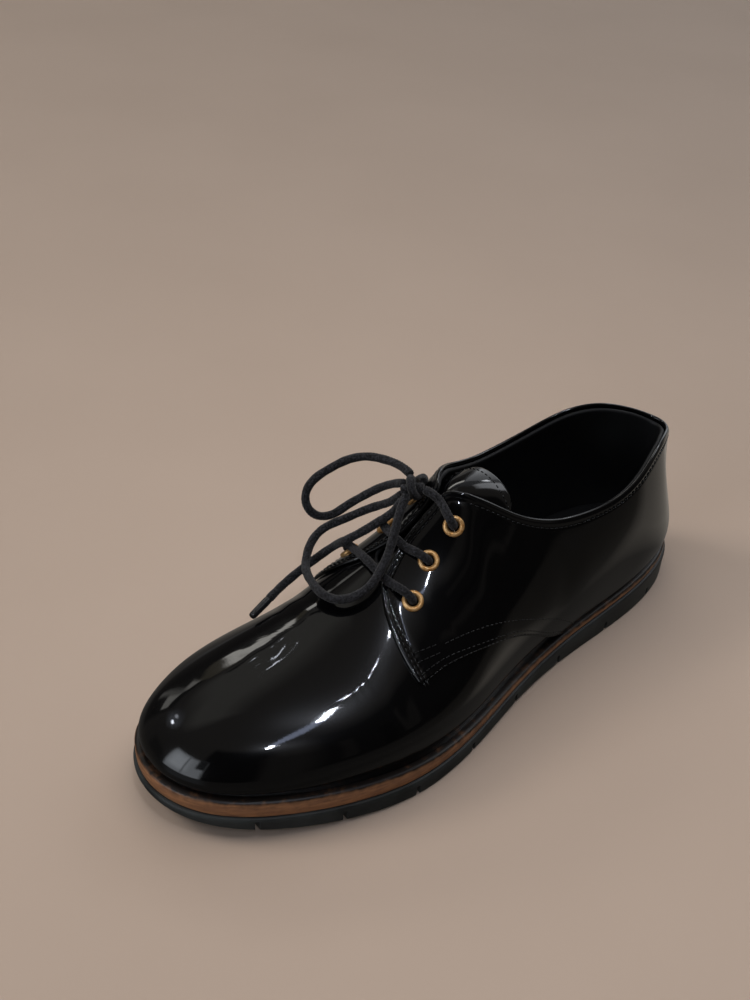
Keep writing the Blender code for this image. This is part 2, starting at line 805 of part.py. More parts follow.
def turned(name, section, centre, axis, count):
    """A closed ring turned about axis. Its section gives radius and height along the axis."""
    turn = Vector((0, 0, 1)).rotation_difference(Vector(axis)).to_matrix()
    points = []
    for i in range(count):
        angle = 2 * math.pi * i / count
        for radius, height in section:
            local = Vector((radius * math.cos(angle), radius * math.sin(angle), height))
            points.append(tuple(Vector(centre) + turn @ local))
    size = len(section)
    faces = []
    for i in range(count):
        following = (i + 1) % count
        for j in range(size):
            k = (j + 1) % size
            faces.append((i * size + j, following * size + j, following * size + k, i * size + k))
    return mesh_from(name, points, faces)


def eyelet_cutter(side, row):
    """A cylinder through the leather at an eyelet."""
    name = f"eyelet_cutter_{'outer' if side == OUTER else 'inner'}_{row + 1}"
    if name in bpy.data.objects:
        return bpy.data.objects[name]
    skin, outwards = eyelet_place(side, row)
    section = ((0.0, -4.0), (EYELET_HOLE, -4.0), (EYELET_HOLE, 3.0), (0.0, 3.0))
    return add_cutter(name, turned(name, section, skin, outwards, 12))


def build_eyelets():
    """Six brass eyelets, each a rolled flange on the quarter and a barrel through the leather."""
    for side, word in ((OUTER, "outer"), (INNER, "inner")):
        for row in range(len(EYELETS)):
            name = f"eyelet_{word}_{row + 1}"
            skin, outwards = eyelet_place(side, row)
            add_object(name, turned(name, EYELET_SECTION, skin, outwards, 12), brass(), 60)


# --------------------------------------------------------------------------------------------- the lace


def smooth_route(route, spacing):
    """Evenly spaced points of a smooth curve through a route's own points."""
    route = np.array(route)
    along = np.concatenate([[0], np.cumsum(np.linalg.norm(np.diff(route, axis=0), axis=1))])
    fine = spline(along, route, np.linspace(0, along[-1], 400))
    length = np.concatenate([[0], np.cumsum(np.linalg.norm(np.diff(fine, axis=0), axis=1))])
    wanted = np.linspace(0, length[-1], max(3, int(round(length[-1] / spacing)) + 1))
    return np.stack([np.interp(wanted, length, fine[:, axis]) for axis in range(3)], -1)


def tube(name, route, diameter, spacing, finish):
    """A round cord along a route."""
    curve = bpy.data.curves.new(name, "CURVE")
    curve.dimensions = "3D"
    curve.bevel_depth = diameter / 2 * MM
    curve.bevel_resolution = 2
    curve.use_fill_caps = True
    points = in_row(smooth_route(route, spacing))
    line = curve.splines.new("POLY")
    line.points.add(len(points) - 1)
    for point, place in zip(line.points, points):
        point.co = (*place, 1)
    curve.materials.append(finish)
    obj = bpy.data.objects.new(name, curve)
    bpy.context.scene.collection.objects.link(obj)


def through_eyelet(side, row, towards):
    """The lace's way out of an eyelet and over its flange, towards a point."""
    skin, outwards = eyelet_place(side, row)
    towards = np.array(towards) - skin
    level = towards - outwards * (towards @ outwards)
    level /= np.linalg.norm(level)
    way = ((-2.4, 0.0), (0.4, 0.0), (2.7, 0.8), (3.7, 3.2), (3.3, 5.6))
    return [skin + outwards * up + level * away for up, away in way]


def over_leather(x, y):
    """The middle of a lace that lies on the quarters."""
    side = OUTER if y >= 0 else INNER
    share = share_of(x)
    rise = rise_at_reach(side, share, lambda at: np.full_like(at, abs(y)))
    return form(side, share, rise, QUARTER_LIFT + QUARTER_THICK + GAP + 0.1 + LACE / 2)


def tip_route(route):
    """The stiff tip that goes on straight from a lace's end."""
    end, before = smooth_route(route, 2 * LACE)[[-1, -2]]
    onwards = (end - before) / np.linalg.norm(end - before)
    return [end + onwards * (GAP + along) for along in (0.0, TIP_LENGTH / 2, TIP_LENGTH)]


def build_lace():
    """The lace: two straight bars, the strands of the top row, and the bow."""
    black = lace_black()
    for name, row, crossing in (
        ("lace_bar_low", 2, ((165.4, -9.0), (166.8, -3.0), (167.0, 3.0), (165.8, 9.0))),
        ("lace_bar_middle", 1, ((153.8, -4.0), (154.4, 0.0), (153.9, 4.0))),
    ):
        middle = [over_leather(x, y) for x, y in crossing]
        route = through_eyelet(INNER, row, middle[0]) + middle + through_eyelet(OUTER, row, middle[-1])[::-1]
        tube(name, route, LACE, 3.5, black)
    strand = [(141.3, -2.3, 87.4), (140.3, 1.4, 87.0), (139.5, 4.6, 85.6)]
    tube("lace_top_outer", strand + through_eyelet(OUTER, 0, strand[-1])[::-1], LACE, 3.5, black)
    skin, outwards = eyelet_place(INNER, 0)
    strand = [skin + outwards * up for up in (-2.4, 0.6, 3.8)]
    tube("lace_top_inner", strand, LACE, 2.4, black)
    knot = turned("lace_knot", [(r, h) for h, r in ((-4.6, 0.0), *KNOT_SECTION, (4.6, 0.0))], KNOT, KNOT_AXIS, 12)
    add_object("lace_knot", knot, black)
    for name, route in (
        ("lace_loop_a", LOOP_A),
        ("lace_loop_b", LOOP_B),
        ("lace_end_a", END_A),
        ("lace_end_b", END_B),
    ):
        tube(name, route, LACE, 2 * LACE, black)
    tube("lace_tip_a", tip_route(END_A), TIP, TIP_LENGTH / 2, black)
    tube("lace_tip_b", tip_route(END_B), TIP, TIP_LENGTH / 2, black)


def build():
    clear_scene()
    build_outsole()
    build_midsole()
    build_insole()
    build_upper()
    build_quarter(OUTER, "quarter_outer")
    build_quarter(INNER, "quarter_inner")
    build_tongue()
    build_eyelets()
    build_lace()


build()
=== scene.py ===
"""Left derby-cut oxford shoe in black patent leather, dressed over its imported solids.

Lengths are millimetres in the shoe's own axes: x from the heel's back edge to the toe, y to the outer
(lateral) side, z up from the ground. in_row() turns them into the frame's metres. The sections follow the
shoe as it is put together: sole, insole, upper, quarters, tongue, eyelets, laces. The studio comes last.
"""

import math

import bmesh
import bpy
import numpy as np
from mathutils import Matrix, Vector


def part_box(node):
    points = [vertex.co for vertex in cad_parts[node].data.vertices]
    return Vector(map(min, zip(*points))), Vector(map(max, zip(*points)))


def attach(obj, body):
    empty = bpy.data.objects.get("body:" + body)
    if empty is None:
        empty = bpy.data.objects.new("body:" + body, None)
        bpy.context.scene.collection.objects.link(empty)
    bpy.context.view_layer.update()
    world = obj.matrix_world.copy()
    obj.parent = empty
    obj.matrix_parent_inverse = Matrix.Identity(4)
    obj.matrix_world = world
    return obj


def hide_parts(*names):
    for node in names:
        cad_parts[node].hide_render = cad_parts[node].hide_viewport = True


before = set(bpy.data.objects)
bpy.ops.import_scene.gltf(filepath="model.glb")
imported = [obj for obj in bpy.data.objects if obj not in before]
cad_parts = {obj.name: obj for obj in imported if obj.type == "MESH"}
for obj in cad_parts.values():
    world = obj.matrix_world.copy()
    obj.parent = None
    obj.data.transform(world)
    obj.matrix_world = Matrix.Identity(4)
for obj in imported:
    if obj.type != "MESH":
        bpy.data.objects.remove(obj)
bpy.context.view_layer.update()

# ---------------------------------------- outsole
# A unit of black rubber, moulded in one piece with its low heel. Grooves across the tread open as notches in
# its side. Its skin comes matt from the mould and takes a little dust at the ground.

MM = 0.001
GAP = 0.3  # between two pieces that touch
OUTER, INNER = 1, -1  # the two sides of the foot
SIDES = ((OUTER, "outer"), (INNER, "inner"))
heel_edge, toe_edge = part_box("outsole")
LENGTH = (toe_edge.x - heel_edge.x) / MM

# x, half-widths of the outsole to the outer and to the inner side.
OUTLINE = (
    (0, 0, 0), (2.6, 8.8, 9), (8.4, 16.4, 16.3), (26.5, 26.5, 26.3), (53, 32, 30), (85, 35, 28),
    (119, 41.2, 25), (152, 50.5, 29), (180, 54.5, 35), (206, 50.8, 37), (230, 42.3, 33), (248, 32, 25.5),
    (259, 20.5, 17), (LENGTH, 0, 0),
)
# x, height of the tread, of the joint between outsole and midsole, and of the midsole's top.
SOLE = (
    (0, 1, 13.2, 17), (10, 0, 13.1, 16.8), (40, 0, 12.6, 16.2), (80, 0, 10.6, 14.2), (115, 0.9, 8.3, 12.4),
    (150, 0, 7.1, 12.2), (180, 0, 7.7, 14.3), (210, 1.7, 9, 16.4), (240, 5, 10.9, 18.4),
    (LENGTH, 9.2, 12.9, 20),
)
# Grooves across the tread: x at the outer edge, x at the inner edge.
GROOVES = ((31, 31), (62.5, 62), (94, 93), (123, 123), (152, 154), (181.5, 185), (210, 216), (237.5, 246))
GROOVE_WIDE, GROOVE_DEEP = 2.0, 4.8
RING_STEPS = 180  # faces of a sole layer from heel to toe, on each side


def spline(at, value, where, closed=False):
    """A cubic spline through value at at, read at where. Both arrays of the spline run from end to end."""
    at, value, where = (np.asarray(a, float) for a in (at, value, where))
    step = np.diff(at)
    count = len(at) - 1 if closed else len(at)
    rows, right = np.eye(count), np.zeros((count,) + value.shape[1:])
    for i in range(0 if closed else 1, count if closed else count - 1):
        before, after = (i - 1) % count, (i + 1) % count
        rows[i, [before, i, after]] = step[i - 1], 2 * (step[i - 1] + step[i]), step[i]
        right[i] = 6 * ((value[after] - value[i]) / step[i] - (value[i] - value[before]) / step[i - 1])
    bend = np.linalg.solve(rows, right.reshape(count, -1)).reshape(right.shape)
    if closed:
        bend = np.concatenate([bend, bend[:1]])
    i = np.clip(np.searchsorted(at, where, side="right") - 1, 0, len(at) - 2)
    shape = where.shape + (1,) * (value.ndim - 1)
    h = step[i].reshape(shape)
    b = ((where - at[i]) / step[i]).reshape(shape)
    a = 1 - b
    return a * value[i] + b * value[i + 1] + ((a**3 - a) * bend[i] + (b**3 - b) * bend[i + 1]) * h * h / 6


def column(table, x, index=1):
    """One column of a table at x, held at its end values outside it."""
    table = np.array(table)
    return spline(table[:, 0], table[:, index], np.clip(x, table[0, 0], table[-1, 0]))


def unit(ways):
    return ways / np.linalg.norm(ways, axis=-1, keepdims=True)


def lengths(line):
    """How far along a line, or along each column of a grid, each point lies."""
    steps = np.linalg.norm(np.diff(line, axis=0), axis=-1)
    return np.concatenate([0 * steps[:1], np.cumsum(steps, axis=0)])


def outline_curve(turn):
    """The outsole's edge. turn runs from the heel's back, 0, by the outer side and the toe, 0.5, to 1."""
    table = np.array(OUTLINE)
    points = np.vstack([table[:, [0, 1]], table[-2::-1, [0, 2]] * (1, -1)])
    along = lengths(points)
    toe, whole = along[len(table) - 1], along[-1]
    turn = np.asarray(turn, float) % 1
    at = np.where(turn <= 0.5, 2 * turn * toe, toe + (2 * turn - 1) * (whole - toe))
    return spline(along, points, at, closed=True)


def inset_curve(turn, inset):
    """The outsole's edge moved inwards."""
    small = 1e-4
    ahead = outline_curve(turn + small) - outline_curve(turn - small)
    return outline_curve(turn) + inset * unit(np.stack([ahead[..., 1], -ahead[..., 0]], -1))


fine = np.linspace(0, 1, 1201)
centre = (outline_curve(fine).min(axis=0) + outline_curve(fine).max(axis=0)) / 2
inset_edges = {}


def in_row(points):
    """Shoe millimetres to the frame's metres. The frame's origin is under the middle of the outsole."""
    return (np.asarray(points, float) - (*centre, 0)) * MM


def edge_at(side, share, inset):
    """The inset edge on one side. share runs from heel, 0, to toe, 1, and both sides reach the same x."""
    if (inset, side) not in inset_edges:
        curve = inset_curve(fine / 2 if side == OUTER else 1 - fine / 2, inset)
        heel, toe = curve[0, 0], curve[-1, 0]
        # Both ends turn square to x, so a place is read from its angle and not from x itself.
        angle = np.arccos(np.clip(1 - 2 * (curve[:, 0] - heel) / (toe - heel), -1, 1))
        inset_edges[inset, side] = heel, toe, angle, curve[:, 1]
    heel, toe, angle, y = inset_edges[inset, side]
    share = np.asarray(share, float)
    x = heel + (toe - heel) * (1 - np.cos(math.pi * share)) / 2
    return np.stack([x, np.interp(math.pi * share, angle, y)], -1)


def solid(name, points, faces, finishes=(), finish_of=None):
    """A mesh object from shoe millimetres. Points that fall together become one."""
    mesh = bpy.data.meshes.new(name)
    mesh.from_pydata(in_row(points).tolist(), [], [tuple(int(i) for i in f) for f in faces])
    for finish in finishes:
        mesh.materials.append(finish)
    if finish_of is not None:
        mesh.polygons.foreach_set("material_index", np.asarray(finish_of, np.int32))
    edit = bmesh.new()
    edit.from_mesh(mesh)
    bmesh.ops.remove_doubles(edit, verts=edit.verts, dist=2e-6)
    bmesh.ops.dissolve_degenerate(edit, edges=edit.edges, dist=1e-7)
    bmesh.ops.recalc_face_normals(edit, faces=edit.faces)
    edit.to_mesh(mesh)
    edit.free()
    made = bpy.data.objects.new(name, mesh)
    bpy.context.scene.collection.objects.link(made)
    return made


def smoothed(made, angle):
    made.data.shade_smooth()
    made.data.set_sharp_from_angle(angle=math.radians(angle))


def piece(name, points, faces, finishes, replaced=(), slot=None, smooth_angle=60, finish_of=None):
    """A solid that rides on the shoe."""
    made = solid(name, points, faces, finishes, finish_of)
    smoothed(made, smooth_angle)
    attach(made, "root")
    if replaced:
        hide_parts(*replaced)
    return made


def grid_faces(index, closed=False):
    """Faces between the rows of a grid of point numbers. A closed grid's last column joins its first."""
    if closed:
        index = np.column_stack([index, index[:, 0]])
    corners = index[:-1, :-1], index[1:, :-1], index[1:, 1:], index[:-1, 1:]
    return np.stack(corners, -1).reshape(-1, 4).tolist()


def sole_layer(foot, top, inset, levels):
    """Points and faces of a layer of the sole between the heights foot(x) and top(x). Each level gives how
    much further in it lies, its share of the way from foot to top, and what is added to that."""
    shares = np.linspace(0, 1, RING_STEPS + 1)
    rings = []
    for more, share, lift in levels:
        edge = [edge_at(OUTER, shares, inset + more), edge_at(INNER, shares[-2:0:-1], inset + more)]
        x, y = np.concatenate(edge).T
        rings.append(np.stack([x, y, foot(x) * (1 - share) + top(x) * share + lift], -1))
    index = np.arange(len(rings) * len(rings[0])).reshape(len(rings), -1)
    faces = grid_faces(index, closed=True)
    for ring in (index[0], index[-1]):
        for i in range(RING_STEPS):
            faces.append(tuple(dict.fromkeys((ring[i], ring[i + 1], ring[-i - 1], ring[-i]))))
    return np.concatenate(rings), faces


def linear(code):
    """An sRGB hex colour as the linear colour that shaders take."""
    channels = [int(code[i : i + 2], 16) / 255 for i in (1, 3, 5)]
    return (*[c / 12.92 if c <= 0.04045 else ((c + 0.055) / 1.055) ** 2.4 for c in channels], 1)


def feed(node, inputs):
    """Sets a node's inputs: each to a value, a socket, or another node's first output."""
    for name, value in inputs.items():
        if isinstance(value, bpy.types.Node):
            value = value.outputs[0]
        if isinstance(value, bpy.types.NodeSocket):
            node.id_data.links.new(value, node.inputs[name])
        else:
            node.inputs[name].default_value = value


def add_node(tree, kind, inputs, stops=(), **settings):
    """Adds a node with its inputs, its settings and the stops of its colour ramp."""
    made = tree.nodes.new("ShaderNode" + kind)
    for name, value in settings.items():
        setattr(made, name, value)
    for i, (at, code) in enumerate(stops):
        made.color_ramp.elements[i].position = at
        made.color_ramp.elements[i].color = linear(code)
    feed(made, inputs)
    return made


def new_material(name):
    """A material with its tree, its shader and the object's own coordinates."""
    made = bpy.data.materials.new(name)
    made.use_nodes = True
    tree = made.node_tree
    return made, tree, tree.nodes["Principled BSDF"], add_node(tree, "TexCoord", {}).outputs["Object"]


def tread(x):
    return np.maximum(column(SOLE, x, 1), 0)


def joint(x):
    return column(SOLE, x, 2)


# Rubber: a dark grey dielectric, matt from the mould. Fine pits catch the light, and dust greys it in clouds.
rubber, tree, shader, place = new_material("moulded_rubber")
pits = add_node(tree, "TexNoise", {"Vector": place, "Scale": 1 / (0.7 * MM), "Detail": 3})
clouds = add_node(tree, "TexNoise", {"Vector": place, "Scale": 1 / (14 * MM), "Detail": 5})
tint = add_node(tree, "ValToRGB", {"Fac": clouds}, ((0.35, "#1a1c1c"), (0.72, "#323636")))
dull = add_node(tree, "MapRange", {"Value": clouds, "To Min": 0.42, "To Max": 0.62})
relief = add_node(tree, "Bump", {"Height": pits, "Strength": 0.5, "Distance": 0.06 * MM})
feed(shader, {"Base Color": tint, "Roughness": dull, "Normal": relief, "IOR": 1.52})

levels = (
    (1.6, 0, 0), (0.7, 0, 0.12), (0.2, 0, 0.5), (0, 0, 1.2), (0.1, 0.5, 0), (0, 1, -1.6), (0.15, 1, -0.8),
    (0.5, 1, -0.2), (1, 1, 0),
)
layer = sole_layer(tread, joint, 0, levels)
outsole = piece("outsole_rubber", *layer, [rubber], ["outsole"], "sole_black", 40)


def together(parts):
    """Points and faces of several meshes as one."""
    points, faces = [], []
    for more, more_faces in parts:
        faces += [[len(points) + i for i in face] for face in more_faces]
        points += list(more)
    return np.array(points), faces


def cut_with(target, cutter, smooth_angle):
    """Cuts a piece by a mesh object and removes the cutter."""
    modifier = target.modifiers.new("cut", "BOOLEAN")
    modifier.solver = "EXACT"
    modifier.object = cutter
    bpy.context.view_layer.update()
    cut = bpy.data.meshes.new_from_object(target.evaluated_get(bpy.context.evaluated_depsgraph_get()))
    target.modifiers.remove(modifier)
    target.data = cut
    smoothed(target, smooth_angle)
    bpy.data.objects.remove(cutter)


# Each groove is cut by a bar that reaches past both edges, and whose sides lean in towards its roof.
bars = []
for ends in GROOVES:
    bar = []
    for x, y in zip(ends, (75, -60)):
        half = GROOVE_WIDE / 2
        roof = float(tread(x)) + GROOVE_DEEP
        bar += [(x - half, y, -6), (x + half, y, -6), (x + half * 0.8, y, roof), (x - half * 0.8, y, roof)]
    sides = [((i + 1) % 4, i, 4 + i, 4 + (i + 1) % 4) for i in range(4)]
    bars.append((bar, [(0, 1, 2, 3), (7, 6, 5, 4), *sides]))
cut_with(outsole, solid("groove_cutter", *together(bars)), 35)

# ---------------------------------------- midsole
# A layer of brown foamed rubber between outsole and upper. It shows as a band with a softly worn top edge.
# Its colour is darkened on the ledge next to the leather, and over the upper part of the band at the heel.

MIDSOLE_INSET = 1.1


def band_foot(x):
    return joint(x) + GAP


def band_top(x):
    return column(SOLE, x, 3)


# Foamed rubber: tan, satin where it was trimmed, with fine streaks along the cut. The colour is darkened by
# the mesh's own attribute, 1 on the inner ledge, and the darkening is mottled by noise.
foam, tree, shader, place = new_material("trimmed_foam_rubber")
drawn = add_node(tree, "Mapping", {"Vector": place, "Scale": (1, 1, 7)})
streaks = add_node(tree, "TexNoise", {"Vector": drawn, "Scale": 1 / (7 * MM), "Detail": 6, "Roughness": 0.65})
tint = add_node(tree, "ValToRGB", {"Fac": streaks}, ((0.3, "#74503a"), (0.7, "#a67650")))
darkening = add_node(tree, "Attribute", {}, attribute_name="darkening")
mottle = add_node(tree, "TexNoise", {"Vector": place, "Scale": 1 / (3 * MM), "Detail": 4})
spread = add_node(tree, "Math", {0: darkening.outputs["Fac"], 1: mottle}, operation="ADD")
amount = add_node(tree, "MapRange", {"Value": spread, "From Min": 0.55, "From Max": 1.35})
tint = add_node(tree, "Mix", {"Factor": amount, 6: tint, 7: linear("#150f0c")}, data_type="RGBA").outputs[2]
relief = add_node(tree, "Bump", {"Height": streaks, "Strength": 0.35, "Distance": 0.12 * MM})
feed(shader, {"Base Color": tint, "Roughness": 0.42, "Normal": relief})

levels = (
    (0.7, 0, 0), (0.2, 0, 0.15), (0, 0, 0.5), (-0.1, 0.5, 0), (0, 1, -1), (0.2, 1, -0.5), (0.6, 1, -0.15),
    (1.2, 1, 0), (2, 1, 0), (3.2, 1, -0.1),
)
layer = sole_layer(band_foot, band_top, MIDSOLE_INSET, levels)
midsole = piece("midsole_foam", *layer, [foam], ["midsole"], "welt_brown", 40)
# Darker colour on the ledge next to the leather, and over the band's upper part from x 125 back to the heel.
flat = np.zeros(len(midsole.data.vertices) * 3, np.float32)
midsole.data.vertices.foreach_get("co", flat)
x, _, z = (flat.reshape(-1, 3) / MM + (*centre, 0)).T
ledge = np.clip((z - band_top(x) + 1.3) / 1.1, 0, 1)
heel_part = np.clip((125 - x) / 50, 0, 1)
upper_part = np.clip(z - band_foot(x) - 1.6, 0, 1) * heel_part
darkened = np.maximum(ledge * 0.9, upper_part * 0.8).astype(np.float32)
midsole.data.attributes.new("darkening", "FLOAT", "POINT").data.foreach_set("value", darkened)

# ---------------------------------------- insole
# A thin sock of black lining leather over foam, glued in on the midsole.

WELT_SHOWS = 4.0  # how far the sole stands out round the upper
WALL = 1.9  # leather and lining of the upper
INSOLE_THICK = 3.5


def floor_of_shoe(x):
    return column(SOLE, x, 3) + GAP


# Lining leather: a black pigmented split, matt, with a fine tight grain.
lining, tree, shader, place = new_material("lining_leather")
scale = {"Vector": place, "Scale": 1 / (0.9 * MM), "Randomness": 0.9}
grain = add_node(tree, "TexVoronoi", scale, feature="SMOOTH_F1")
wear = add_node(tree, "TexNoise", {"Vector": place, "Scale": 1 / (9 * MM), "Detail": 4})
tint = add_node(tree, "ValToRGB", {"Fac": wear}, ((0, "#050506"), (1, "#0e0e0f")))
relief = add_node(tree, "Bump", {"Height": grain, "Strength": 0.4, "Distance": 0.1 * MM})
feed(shader, {"Base Color": tint, "Roughness": 0.62, "Normal": relief})

sock_edge = WELT_SHOWS + WALL + 0.8
levels = ((0, 0, 0), (-0.1, 0, 1.5), (0.2, 1, -0.8), (0.9, 1, -0.2), (2, 1, 0))
layer = sole_layer(floor_of_shoe, lambda x: floor_of_shoe(x) + INSOLE_THICK, sock_edge, levels)
piece("insole_sock", *layer, [lining], ["insole"], "lining_black", 40)

# ---------------------------------------- upper
# Vamp and lined back part in one hollow wall: patent leather over lining leather. The leather is drawn tight
# over the last, and flexing has left soft creases across the vamp below the throat.

# x, height of the last's ridge and its place to the side.
RIDGE = (
    (0, 105, 0), (60, 105, 0), (100, 104, 0), (115, 101, 0), (125, 94.5, 0), (133, 88, 0), (140, 81, 0),
    (150, 72.5, 0), (161, 65.5, -0.3), (172, 60, -0.6), (185, 54, -0.9), (200, 49.4, -1), (215, 46.8, -1),
    (235, 45.2, -1), (LENGTH, 44, -1),
)
# Width of a section at four heights, as shares of the half-width at the sole: the foot of the wall, the
# wall, the shoulder and the crown. x, then those four on the outer side and on the inner side.
SECTIONS = (
    (4, 1.04, 0.87, 0.76, 0.33, 1.04, 0.87, 0.76, 0.33),
    (12, 1.09, 0.69, 0.76, 0.34, 1.09, 0.72, 0.76, 0.34),
    (25, 1.16, 0.90, 0.70, 0.28, 1.14, 0.93, 0.71, 0.28),
    (50, 1.08, 1.09, 0.81, 0.28, 1.12, 1.15, 0.89, 0.29),
    (80, 1.09, 1.05, 0.72, 0.24, 1.17, 1.22, 0.97, 0.26),
    (105, 1.07, 0.95, 0.54, 0.17, 1.20, 1.26, 0.97, 0.21),
    (125, 1.06, 0.93, 0.47, 0.12, 1.20, 1.23, 0.91, 0.18),
    (145, 1.05, 1.01, 0.53, 0.09, 1.15, 1.17, 0.86, 0.21),
    (165, 1.01, 1.08, 0.58, 0.08, 1.09, 1.07, 0.79, 0.26),
    (185, 0.99, 1.08, 0.73, 0.13, 1.03, 0.97, 0.64, 0.28),
    (210, 1.01, 1.05, 0.81, 0.25, 1.03, 0.97, 0.62, 0.29),
    (235, 1.04, 1.00, 0.80, 0.37, 1.03, 1.02, 0.72, 0.33),
    (261, 1.04, 0.98, 0.81, 0.43, 1.04, 0.98, 0.81, 0.43),
)
SECTION_HEIGHTS = (0, 0.16, 0.42, 0.76, 1, 1)  # from the sole to the ridge
TURN_HEEL, TURN_TOE, TURN_SOFT = 40, 198, 14  # where the sections turn to close round heel and toe
# x and height of the top line.
TOP_LINE = (
    (2, 70.5), (10, 71.5), (16, 74), (25, 77), (35, 78.2), (45, 76.6), (55, 73.4), (65, 71), (75, 70),
    (85, 70), (95, 71), (105, 73.8), (115, 78.6), (125, 84.8), (132, 88),
)
# x and half the gap between the two facings.
TOP_LINE_ENDS, FACING_TOP, FACING_END = 126, 131, 168.5
FACING = (
    (TOP_LINE_ENDS, 9), (FACING_TOP, 5.4), (134, 2.3), (138, 1), (146, 0.7), (152, 1.2), (156, 2.4),
    (161, 4.6), (166, 7), (FACING_END, 8.8),
)
UNDER = 2.2  # how far a quarter reaches past the upper's own edge
THROAT = 165
THROAT_CLOSES = 8
UPPER_STATIONS, UPPER_ROWS = 230, 60

# Flex creases across the vamp: x and y of a crease's points, its depth and half-width.
RIDGE_CREASE = (
    (253, -4.6), (245, -4.2), (237, -3), (229, -1.4), (220, -0.9), (215.5, -2), (211.5, -0.4), (206, -2),
    (199, -1.7), (193, -3.4), (186, -4.8),
)
CREASES = (
    (RIDGE_CREASE, -0.28, 2.6),
    (((184, -26), (186.5, -8), (186, 3)), 0.28, 2.6),
    (((194, -24), (196, -14), (195.5, -6)), 0.16, 2.2),
    (((170.5, 9), (174.5, 20), (177.2, 32), (178, 42), (176.5, 50)), 0.04, 6),
    (((187.5, 24), (189.5, 30), (189, 36)), 0.014, 0.7),
    (((191, 24), (192.6, 30), (192, 36)), 0.013, 0.6),
    (((194.4, 25), (195.6, 31), (195, 36)), 0.012, 0.6),
    (((178, 40), (182.5, 45), (181, 50.5)), 0.1, 2.4),
)


def section_weights(rise):
    """Weights of a section's six points at rise, from 0 at the sole to 1 at the ridge: a clamped B-spline."""
    knots = np.array((0, 0, 0, 0, 1 / 3, 2 / 3, 1, 1, 1, 1))
    rise = np.clip(rise, 0, 1 - 1e-9)[..., None]
    weights = ((rise >= knots[:-1]) & (rise < knots[1:])).astype(float)
    for degree in (1, 2, 3):
        span = knots[degree:] - knots[:-degree]
        passed = (rise - knots[:-degree]) / np.where(span > 0, span, 1)
        weights = passed[..., :-1] * weights[..., :-1] + (1 - passed[..., 1:]) * weights[..., 1:]
    return weights


def share_of(x):
    """The share at which the upper's foot reaches x."""
    return np.arccos(np.clip(1 - 2 * (x - WELT_SHOWS) / (LENGTH - 2 * WELT_SHOWS), -1, 1)) / math.pi


def foot_x(side, share):
    return edge_at(side, share, WELT_SHOWS)[..., 0]


def turning_x(x):
    """The place on the ridge that a section from x at the sole rises to."""
    past_heel, past_toe = (TURN_SOFT * np.logaddexp(0, (x - at) / TURN_SOFT) for at in (TURN_HEEL, TURN_TOE))
    return TURN_HEEL + past_heel - past_toe


def bare_form(side, share, rise):
    """The last's surface, with nothing added."""
    share, rise = np.broadcast_arrays(share, rise)
    foot = edge_at(side, share, WELT_SHOWS)
    first = 1 if side == OUTER else 5
    widths = [np.ones_like(share), *(column(SECTIONS, foot[..., 0], first + i) for i in range(4)), 0 * share]
    weights = section_weights(rise)
    ridge = turning_x(foot[..., 0])
    ridge = np.stack([ridge, column(RIDGE, ridge, 2)], -1)
    flat = ridge + (foot - ridge) * (weights * np.stack(widths, -1)).sum(-1)[..., None]
    low = floor_of_shoe(flat[..., 0])
    height = low + (column(RIDGE, flat[..., 0]) - low) * (weights * SECTION_HEIGHTS).sum(-1)
    return np.concatenate([flat, height[..., None]], -1)


def eased(share):
    share = np.clip(share, 0, 1)
    return share * share * (3 - 2 * share)


def form(side, share, rise, out=0):
    """A point out from the last's surface. share runs from heel to toe, and rise from sole to ridge."""
    share, rise = np.broadcast_arrays(share, rise)
    points = bare_form(side, share, rise)
    step, climb, below = 5e-4, 4e-3, np.minimum(rise, 0.97)
    along = bare_form(side, np.minimum(share + step, 1), below)
    along -= bare_form(side, np.maximum(share - step, 0), below)
    up = bare_form(side, share, below + climb) - bare_form(side, share, np.maximum(below - climb, 0))
    # On the ridge both sides take the same normal, so that they meet.
    slope = column(RIDGE, points[..., 0] + 1) - column(RIDGE, points[..., 0] - 1)
    crest = unit(np.stack([-slope / 2, 0 * slope, 1 + 0 * slope], -1))
    blend = eased((rise - 0.86) / 0.14)[..., None]
    normal = unit(side * np.cross(up, along)) * (1 - blend) + crest * blend
    # At the sole it is level, so that every layer ends on the midsole.
    normal[..., 2] *= np.clip(rise / 0.08, 0, 1)
    return points + np.asarray(out)[..., None] * unit(normal)


def rise_where(side, share, reached):
    """The rise at which reached(points) first turns true, by halving."""
    low, high = np.zeros_like(share), np.ones_like(share)
    for _ in range(30):
        middle = (low + high) / 2
        yes = reached(bare_form(side, share, middle))
        low, high = np.where(yes, low, middle), np.where(yes, middle, high)
    return (low + high) / 2


def rise_at_reach(side, share, reach):
    """The rise at which a section comes within reach of the ridge, measured sideways."""

    def reached(points):
        x, y = points[..., 0], points[..., 1]
        return side * (y - column(RIDGE, x, 2)) <= reach(x)

    return rise_where(side, share, reached)


def facing_rise(side, share, back):
    """The rise of a line that runs back from the facing's edge."""
    return rise_at_reach(side, share, lambda x: column(FACING, x) + back)


def edge_line(side, share, down, back):
    """The rise of a line inside the shoe's upper edge: down from the top line, back from the facing."""
    collar = rise_where(side, share, lambda p: p[..., 2] >= column(TOP_LINE, p[..., 0]) - down)
    near_facing = foot_x(side, share) >= TOP_LINE_ENDS
    return np.where(near_facing, np.minimum(collar, facing_rise(side, share, back)), collar)


def swelling(gap, half):
    """1 where gap is 0, and falling away over half on both sides of that."""
    return np.exp(-((gap / half) ** 2))


